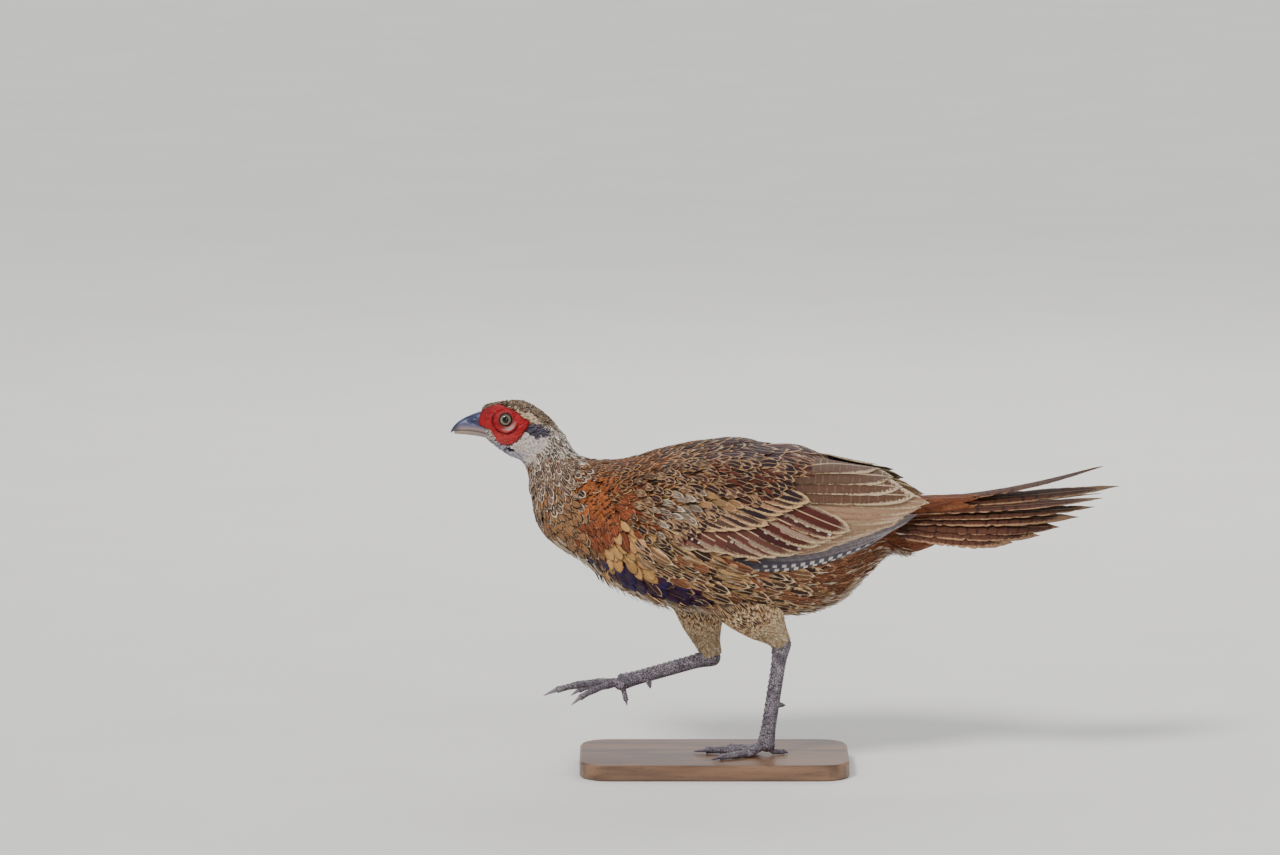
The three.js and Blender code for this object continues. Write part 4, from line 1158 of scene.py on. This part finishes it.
def skin():
    """One skin under the whole coat: body, tail root, wings and thighs, joined by a fine remesh."""
    parts = []
    angle = np.linspace(-180, 180, 72, endpoint=False)
    for start, end, count, stations, depths in (
        (0.0, RUMP_END + 1.0, 110, [0, 3, 6, 9], [-0.9, -1.2, -1.8, -2.4]),
        (RUMP_END - 0.5, 17.3, 40, [RUMP_END, 16, 17, 17.3], [-3.2, -4.0, -4.6, -7.4]),
    ):
        at = np.linspace(start, end, count)[:, None]
        parts.append(tube(on_body(at, angle[None], np.interp(at, stations, depths))))
    for side in (LEFT, RIGHT):
        surface = wing_surface(side)
        x = np.linspace(-64, 60, 40)[:, None]
        top = np.interp(x, [-64, -40, 0, 40, 60], [204, 214, 217, 213, 206])
        low = np.interp(x, [-64, -40, 0, 30, 60], [186, 166, 156, 158, 180])
        z = low + (top - low) * np.linspace(0, 1, 12)
        x = np.repeat(x, 12, 1)
        normal = normals_of(surface, x, z, WING_STEP, -side)
        thick = np.interp(x, [-64, -50, 40, 60], [6.0, 2.4, 2.4, 3.0])[..., None]
        outer = surface(x, z) - normal * thick
        inner = surface(x, z) - normal * 11
        parts.append(tube(np.concatenate([outer, inner[:, ::-1]], 1)))
    for leg in LEGS.values():
        at, angle = np.linspace(0, 4, 30), np.linspace(0, 360, 32, endpoint=False)
        rings = limb_surface(leg["thigh"])(*np.meshgrid(at, angle, indexing="ij"))
        centre = rings.mean(1, keepdims=True)
        parts.append(tube(centre + (rings - centre) * 0.86))
    made = make_object("skin", *join_parts(parts))
    remesh = made.modifiers.new("join", "REMESH")
    remesh.mode = "VOXEL"
    remesh.voxel_size = SKIN_VOXEL
    remesh.use_smooth_shade = True
    bpy.context.view_layer.objects.active = made
    bpy.ops.object.modifier_apply(modifier="join")

    points = np.empty(len(made.data.vertices) * 3)
    made.data.vertices.foreach_get("co", points)
    points = points.reshape(-1, 3) / METRES_PER_MM - (0, 0, BASE_TOP)
    x, y, z = points.T
    kinds = np.where(x < -122, kinds_at(points, HEAD_PLACES, "nape"),
                     kinds_at(points, BODY_PLACES, "mantle"))
    kinds = np.where((z < 118) & (x > -40), KIND_ROW["tibia"], kinds)
    kinds = np.where((np.abs(y) > 40) & (z > 150) & (x > -70), KIND_ROW["covert"], kinds)
    paint(made, KIND_COLOURS[0][kinds] * 0.6 + KIND_COLOURS[1][kinds] * 0.25)
    dress(made, skin_material(), "plumage", "head", "neck", "torso", "wing_left", "wing_right",
          "thigh_left", "thigh_right")


# Thighs


def thigh_coat(word, leg):
    """Short close feathers down a thigh, longer where it leaves the body."""
    surface = limb_surface(leg["thigh"])
    rng = np.random.default_rng(110 + (word == "left"))
    rows = []
    for row, at in enumerate(np.linspace(0.6, 3.95, 38)):
        count = int(np.interp(at, [1, 3, 4], [44, 26, 20]))
        angle = (np.arange(count) + 0.5 * (row % 2) + 0.3 * rng.random(count)) * 360 / count
        rows.append(np.column_stack([at + 0.02 * rng.standard_normal(count), angle]))
    roots, counts = joined_rows(rows)
    at, angle = roots.T
    count = len(at)
    length = np.interp(at, [0.6, 1.4, 2, 3, 4], [22, 18, 9, 6, 4.4])
    length = length * (1 + 0.12 * rng.standard_normal(count))
    kinds = np.full(count, KIND_ROW["tibia"])
    kinds = np.where((rng.random(count) < 0.15) & (at > 2.6), KIND_ROW["down"], kinds)
    kinds = np.where(at + 0.2 * rng.standard_normal(count) < 1.6, KIND_ROW["flank"], kinds)
    heading = 6 * rng.standard_normal(count)
    place = on_surface(surface, LIMB_STEP, -1, at, angle, heading)
    made = feathers(f"coat_thigh_{word}", place, length, length * np.where(at < 1.6, 0.3, 0.42),
                    marks_of(kinds, rng), row_cells(counts), grid=(5, 3), sink=0.8, lift=0.4,
                    roll=0.1, camber=0.2, curl=0.4, thick=0.14, seed=115)
    dress(made, HEAD_FEATHER, "thigh")


# Face


def head_depth(x, z):
    """How far out the side of the head lies at places in the side view."""
    at, angle = np.meshgrid(np.linspace(-0.2, 4, 120), np.linspace(4, 176, 100), indexing="ij")
    grid_x, grid_y, grid_z = on_body(at, angle).reshape(-1, 3).T
    found = []
    for row_x, row_z in zip(x, z):
        miss = (grid_x - row_x[:, None]) ** 2 + (grid_z - row_z[:, None]) ** 2
        weight = 1 / (miss + 0.05) ** 2
        found.append((weight * grid_y).sum(1) / weight.sum(1))
    return np.array(found)


def wattle(side):
    """The bare red skin round the eye: plump, folded round the lids, with fine papillae."""
    turn, far = wattle_outline(150)
    share = np.linspace(0, 1, 46)[:, None]
    radius = LID_RADIUS + (far[None] - LID_RADIUS + 0.3) * share
    around = turn[None] + 0 * radius
    x = EYE["x"] + radius * np.cos(around)
    z = EYE["z"] + radius * np.sin(around)
    y = head_depth(x, z)
    rng = np.random.default_rng(120)
    # Heights over the side of the head: the whole pad, the lobe below, the front, a fold and lids
    plump = 1.9 * np.sin(np.pi * share**0.8) ** 0.7 - 0.9 * ramp(share, 0.86, 1)
    lobe = 1.1 * hump((x + 157.5, 8.5), (z - 237.5, 5.0))
    front = hump((x + 171.5, 5.5), (z - 250.5, 6.5))
    low = ramp(-np.sin(around) - 0.45 * np.cos(around) + 0.35, 0, 0.7)
    fold = hump((radius - 9.3 + 1.2 * np.sin(around), 0.75)) * low
    lid = 1.5 * hump((radius - 5.6, 0.85)) - 0.7 * hump((radius - 7.2, 0.7))
    grain = 0 * x
    for _ in range(5):
        kx, kz, phase = rng.normal(0, 2.3), rng.normal(0, 2.3), rng.uniform(0, TURN)
        grain += np.cos(kx * x + kz * z + phase)
    height = plump + lobe + front - 1.5 * fold + lid + 0.14 * grain * ramp(share, 0.08, 0.3)
    rim = EYE["reach"] - 2.6
    out = y + height
    out = np.where(share < 0.3, np.maximum(out, rim + 2.0 * (1 - share / 0.3)), out)
    top = np.stack([x, side * out, z], -1)
    under = np.stack([x, side * (np.minimum(y, out) - 3.0), z], -1)
    ring = np.concatenate([top, under[::-1]], 0)
    count, size = ring.shape[:2]
    i, j = np.meshgrid(np.arange(count), np.arange(size), indexing="ij")
    after, beside = (i + 1) % count, (j + 1) % size
    faces = np.stack([i * size + j, i * size + beside, after * size + beside, after * size + j], -1)
    faces = faces.reshape(-1, 4)
    made = make_object(f"wattle_skin_{WORDS[side]}", ring, faces[:, ::-1] if side < 0 else faces)

    # Paler below and darker in front, with painted shade in the fold, darker at the edge, a painted
    # highlight below and behind the eye, and dark lids
    tone = blended(colour("a00a12"), 0.7 * ramp(243 - z, -1, 6), "b83a36")
    tone = blended(tone, 0.6 * ramp(-x, 160, 174) * ramp(z, 248, 256), "7c0410")
    # Painted shade in the fold, and darker at the outer edge
    tone = blended(tone, np.maximum(0.85 * fold, 0.75 * ramp(share, 0.93, 0.99)), "4d0c14")
    # Painted highlight: a near-white crescent below and behind the eye
    tone = blended(tone, 0.9 * hump((radius - 6.9, 1.1), (around + 1.05, 0.6)), "efe2de")
    tone = blended(tone, 0.85 * hump((radius - 5.1, 0.6)), "3a2f2e")
    paint(made, np.concatenate([tone, tone[::-1]], 0))
    dress(made, WATTLE, "wattle", f"wattle_{WORDS[side]}")


def eye(side):
    """A round eye with pupil, ringed iris and a dark rim, turned out to the side."""
    polar = np.linspace(0.02, np.pi * 0.62, 40)[:, None]
    turn = np.linspace(0, 2 * np.pi, 64, endpoint=False)[None]
    bulge = EYE["radius"] + 0.35 * hump((polar, 0.5))
    out = side * (EYE["reach"] - EYE["radius"] + bulge * np.cos(polar)) + 0 * turn
    across = bulge * np.sin(polar)
    x, z = across * np.cos(turn), across * np.sin(turn)
    points, faces = tube(np.stack([EYE["x"] + x, out, EYE["z"] + z], -1))
    made = make_object(f"eyeball_{WORDS[side]}", points, faces)
    x, z = points[:, 0] - EYE["x"], points[:, 2] - EYE["z"]
    far = np.hypot(x, z)
    tone = blended(colour("120d0c"), 1 - ramp(far, IRIS_RADIUS, IRIS_RADIUS + 0.4), "968d79")
    # Painted shade: the upper part of the eye is darker, as under its lid
    tone = tone * (1 - 0.45 * ramp(z, -1.5, 2.5)[:, None])
    pupil = 1 - ramp(far, PUPIL_RADIUS, PUPIL_RADIUS + 0.2)
    paint(made, blended(tone, pupil, "050404"))
    dress(made, EYE_SURFACE, "eye", f"eye_{WORDS[side]}")


def bill(half):
    """One half of the bill, with the nostril's cover and slit on the upper half."""
    ring = between(BILL_RINGS, np.linspace(-0.2, BILL_REACH[half], 70)[:, None])
    turn = np.linspace(0, np.pi, 48)[None]
    mouth = ring["mouth"]
    x = ring["x"] + 0 * turn
    y = np.cos(turn) * ring["half"]
    if half == "upper":
        z = mouth + np.sin(turn) ** 0.8 * (ring["ridge"] - mouth)
        slope = 0.3 * (x + 181.8)
        cover = hump((x + 181.8, 4.0), (z - 250.6 + slope, 2.0))
        slit = hump((x + 183.6, 3.0), (z - 248.0 + slope + 0.54, 0.7))
        y = y * (1 + (0.36 * cover - 0.4 * slit) * np.sin(turn) ** 0.3)
        y = y * (1 + 0.07 * hump((z - mouth, 0.8)))
    else:
        z = mouth - np.sin(turn) ** 0.9 * (mouth - ring["keel"]) - 0.35
        y = y * 0.86
    points, faces = tube(np.stack([x, y, z], -1))
    made = make_object(f"bill_horn_{half}", points, faces)
    x, z = points[:, 0], points[:, 2]
    if half == "upper":
        above = z - np.interp(-x, [172, 180, 187, 193, 199], [240.6, 242, 242.6, 242.4, 240])
        tone = blended(colour("84716f"), ramp(above, 1.2, 4.6), "3a3f62")
        cover = hump((x + 181.8, 4.6), (z - 250.2 + 0.3 * (x + 181.8), 2.6))
        ridge = ramp(above, 6.0, 9.5) * ramp(-x, 178, 186)
        dark = np.maximum(np.maximum(cover, 0.8 * ridge), 0.8 * ramp(-x, 190, 197))
        tone = blended(tone, dark, "171a38")
    else:
        tone = blended(colour("8c7c76"), ramp(-x, 176, 196), "9a8570")
    paint(made, tone)
    dress(made, BILL, "bill", f"bill_{half}")


# Feet


def sweep(centres, deep, wide, lateral, around, front=None):
    """Rings round a path. Front gives extra reach ahead of the limb, by ring and angle."""
    fore, across = crosswise(np.gradient(centres, axis=0), lateral)
    turn = np.linspace(0, 2 * np.pi, around, endpoint=False)
    reach = np.ones((len(centres), around)) if front is None else 1 + front(turn)
    cos, sin = np.cos(turn)[None] * reach, np.sin(turn)[None] * reach
    return (centres[:, None] + fore[:, None] * (cos * deep[:, None])[..., None]
            + across[:, None] * (sin * wide[:, None])[..., None])


def shank(word, leg):
    """A shank with scutes down its front, a fine mesh of scales behind and a blunt spur."""
    top, bottom = np.array(leg["hock"], float), np.array(leg["ankle"], float)
    t = np.linspace(-0.085, 1.02, 210)
    swell = 1 + 0.36 * hump((t, 0.12)) + 0.16 * hump((t - 1, 0.1))
    swell = swell * np.sqrt(np.clip(1 - (np.minimum(t, 0) / 0.086) ** 2, 0.01, 1))
    plates = 17
    saw = (t * plates) % 1

    def scutes(turn):
        facing = ramp(np.cos(turn), 0.1, 0.7)[None]
        plate = (0.02 + 0.2 * saw**0.7 - 0.16 * ramp(saw, 0.88, 1))[:, None] * facing
        mesh = np.sin(t[:, None] * 190 + 2 * np.cos(6 * turn)[None]) * np.cos(9 * turn)[None]
        return plate + 0.03 * mesh * (1 - facing)

    centres = top + np.outer(t, bottom - top)
    along = unit(bottom - top)
    behind = unit(unit(-np.cross((0, 1, 0), along)) + np.array((0, -leg["side"] * 0.35, 0)))
    share = np.linspace(0, 1, 20)
    horn = top + leg["spur"] * (bottom - top) + np.outer(share * 10.2, behind)
    size = np.interp(share, [0, 0.4, 0.8, 1], [2.6, 2.5, 1.5, 0.4])
    points, faces = join_parts([
        tube(sweep(centres, 5.0 * swell, 4.1 * swell, (0, 1, 0), 40, scutes)),
        tube(sweep(horn, size, size, along, 20)),
    ])
    made = make_object(f"scaly_shank_{word}", points, faces)
    paint_leg(made, points, 130)
    dress(made, LEG_SKIN, "leg", f"shank_{word}")


def paint_leg(made, points, seed):
    """Purple-grey skin with paler and darker patches."""
    rng = np.random.default_rng(seed)
    wave = sum(np.sin(points @ rng.normal(0, 0.35, 3) + rng.uniform(0, 6)) for _ in range(6)) / 6
    paint(made, blended(colour("5b515c"), ramp(wave, -0.5, 0.6), "857a82"))


def toe_path(leg, toe):
    """The middle line of a toe. A planted toe lies flat, and a raised one is a little arched."""
    length, heading, drop, thick = toe
    heading, slant = math.radians(heading), math.radians(drop)
    forward = np.array([
        -math.cos(heading) * math.cos(slant),
        leg["side"] * math.sin(heading) * math.cos(slant),
        -math.sin(slant),
    ])
    start = np.array(leg["ankle"], float)

    def path(t):
        points = start + np.multiply.outer(t * length, forward)
        if leg["planted"]:
            share = np.minimum(1, np.maximum(0, t) * 3.2) ** 0.7
            points[:, 2] = (start[2] - 1.5) * (1 - share) + thick * (1 - TOE_TAPER * t) * share
        elif drop < 60:
            points[:, 2] += 3 * np.sin(np.pi * np.minimum(1, t))
        return points
    return path


def foot(word, leg):
    """The ball of a foot and its toes, with plates along the top of each toe."""
    angle, polar = np.linspace(0, 2 * np.pi, 32, endpoint=False), np.linspace(0.05, 3.09, 24)
    x, y, z = leg["ankle"]
    parts = [tube(np.stack([
        np.outer(np.sin(polar), np.cos(angle)) * 6.0,
        np.outer(np.sin(polar), np.sin(angle)) * 5.2,
        np.outer(np.cos(polar), np.ones(32)) * 5.0,
    ], -1) + (x, y, z - (3 if leg["planted"] else 1)))]
    for toe in leg["toes"].values():
        path = toe_path(leg, toe)
        long = toe[0] > 30
        t = np.linspace(-0.03, (1 - CLAW_SHARE), 90)
        saw = (np.maximum(t, 0) / (1 - CLAW_SHARE) * (13 if long else 5)) % 1
        size = toe[3] * (1 - TOE_TAPER * t)
        size = size * (1 + 0.08 * np.cos(t * (3 if long else 1) * 2 * np.pi / (1 - CLAW_SHARE)))
        ahead = path(np.array([1.0]))[0] - path(np.array([0.4]))[0]
        lateral = np.cross((0, 0, 1), ahead)
        up = 1 if np.cross(lateral, ahead)[2] > 0 else -1

        def plate(turn, saw=saw):
            facing = ramp(np.cos(turn), 0.2, 0.8)[None]
            return (0.16 * saw**0.7 - 0.1 * ramp(saw, 0.9, 1))[:, None] * facing

        parts.append(tube(sweep(path(t), size * 0.94, size * 0.9, lateral * up, 24, plate)))
    points, faces = join_parts(parts)
    points[:, 2] = np.maximum(points[:, 2], 0.02)
    made = make_object(f"scaly_foot_{word}", points, faces)
    paint_leg(made, points, 140)
    dress(made, LEG_SKIN, "leg", f"foot_{word}")


def claws(word, leg):
    for name, toe in leg["toes"].items():
        share = np.linspace(0, 1, 30)
        t = (1 - CLAW_SHARE) + (CLAW_SHARE + 0.02) * share - 0.02
        size = toe[3] * 0.62 * 0.84 * (1 - 0.86 * share**1.3)
        centres = toe_path(leg, toe)(t)
        centres[:, 2] += (1 - share) * 0.5 - share * 1.1
        if leg["planted"]:
            centres[:, 2] = np.maximum(centres[:, 2], size + 0.1)
        lateral = np.cross((0, 0, 1), centres[-1] - centres[0])
        made = make_object(f"horn_claw_{word}_{name}",
                           *tube(sweep(centres, size, size * 0.8, lateral, 20)))
        dress(made, CLAW_HORN, "claw", f"claw_{word}_{name}")


# Setting


def setting():
    bpy.ops.mesh.primitive_plane_add(size=30)
    floor = bpy.context.object
    floor.name = "floor"
    floor.data.materials.append(floor_material())

    for name, place, kind_of_light, size, power in (
        ("key", (-1.2, -1.9, 2.4), "SUN", 0.25, 2.7),
        ("fill", (1.9, -1.6, 1.2), "AREA", 1.8, 14),
        ("back", (0.5, 1.9, 1.9), "AREA", 1.5, 26),
        ("glint", (0.55, -1.83, 0.6), "AREA", 0.16, 5),
    ):
        light = bpy.data.lights.new(name, kind_of_light)
        light.energy = power
        if kind_of_light == "SUN":
            light.angle = size
        else:
            light.size = size
        lamp = bpy.data.objects.new(name, light)
        lamp.location = place
        lamp.rotation_euler = look_rotation(np.array((0, 0, 0.17)) - np.array(place))
        bpy.context.scene.collection.objects.link(lamp)
    world = bpy.data.worlds.new("studio")
    world.use_nodes = True
    world.node_tree.nodes["Background"].inputs["Color"].default_value = (0.93, 0.95, 1.0, 1)
    world.node_tree.nodes["Background"].inputs["Strength"].default_value = 0.6
    bpy.context.scene.world = world


def look_rotation(direction):
    """Turns that point an object's -Z along a direction, with its +Y up."""
    x, y, z = direction
    return (math.atan2(math.hypot(x, y), -z), 0, math.atan2(-x, y))


# The photo's frame, read in its pixels and turned to millimetres by the bird's own scale
PHOTO = {"width": 1280, "height": 855, "mm_per_px": 0.74, "zero_x": 720, "floor_y": 757}
ELEVATION = 8.0
LENS = 200.0
SENSOR = 36.0


def camera():
    x = (PHOTO["width"] / 2 - PHOTO["zero_x"]) * PHOTO["mm_per_px"]
    z = (PHOTO["floor_y"] - PHOTO["height"] / 2) * PHOTO["mm_per_px"] + BASE_TOP
    distance = PHOTO["width"] * PHOTO["mm_per_px"] * LENS / SENSOR
    turn = math.radians(ELEVATION)
    data = bpy.data.cameras.new("camera")
    data.lens = LENS
    data.sensor_width = SENSOR
    data.clip_end = 50
    made = bpy.data.objects.new("camera", data)
    place = np.array([x, -distance * math.cos(turn), z + distance * math.sin(turn)])
    made.location = place * METRES_PER_MM
    made.rotation_euler = (math.radians(90 - ELEVATION), 0, 0)
    bpy.context.scene.collection.objects.link(made)
    bpy.context.scene.camera = made


camera()
skin()
head_coat()
neck_coat()
torso_coat()
flank_coat()
soft_down()
tail_coverts()
tail()
for wing_side in (LEFT, RIGHT):
    for wing_sizes in WING_TIERS:
        wing_tier(wing_side, wing_sizes)
    lesser_coverts(wing_side)
    wattle(wing_side)
    eye(wing_side)
for leg_name, leg_sizes in LEGS.items():
    for make in (thigh_coat, shank, foot, claws):
        make(leg_name, leg_sizes)
bill("upper")
bill("lower")

base = bpy.data.objects.get("stand_base")
base.data.materials.clear()
base.data.materials.append(wood_material())
setting()
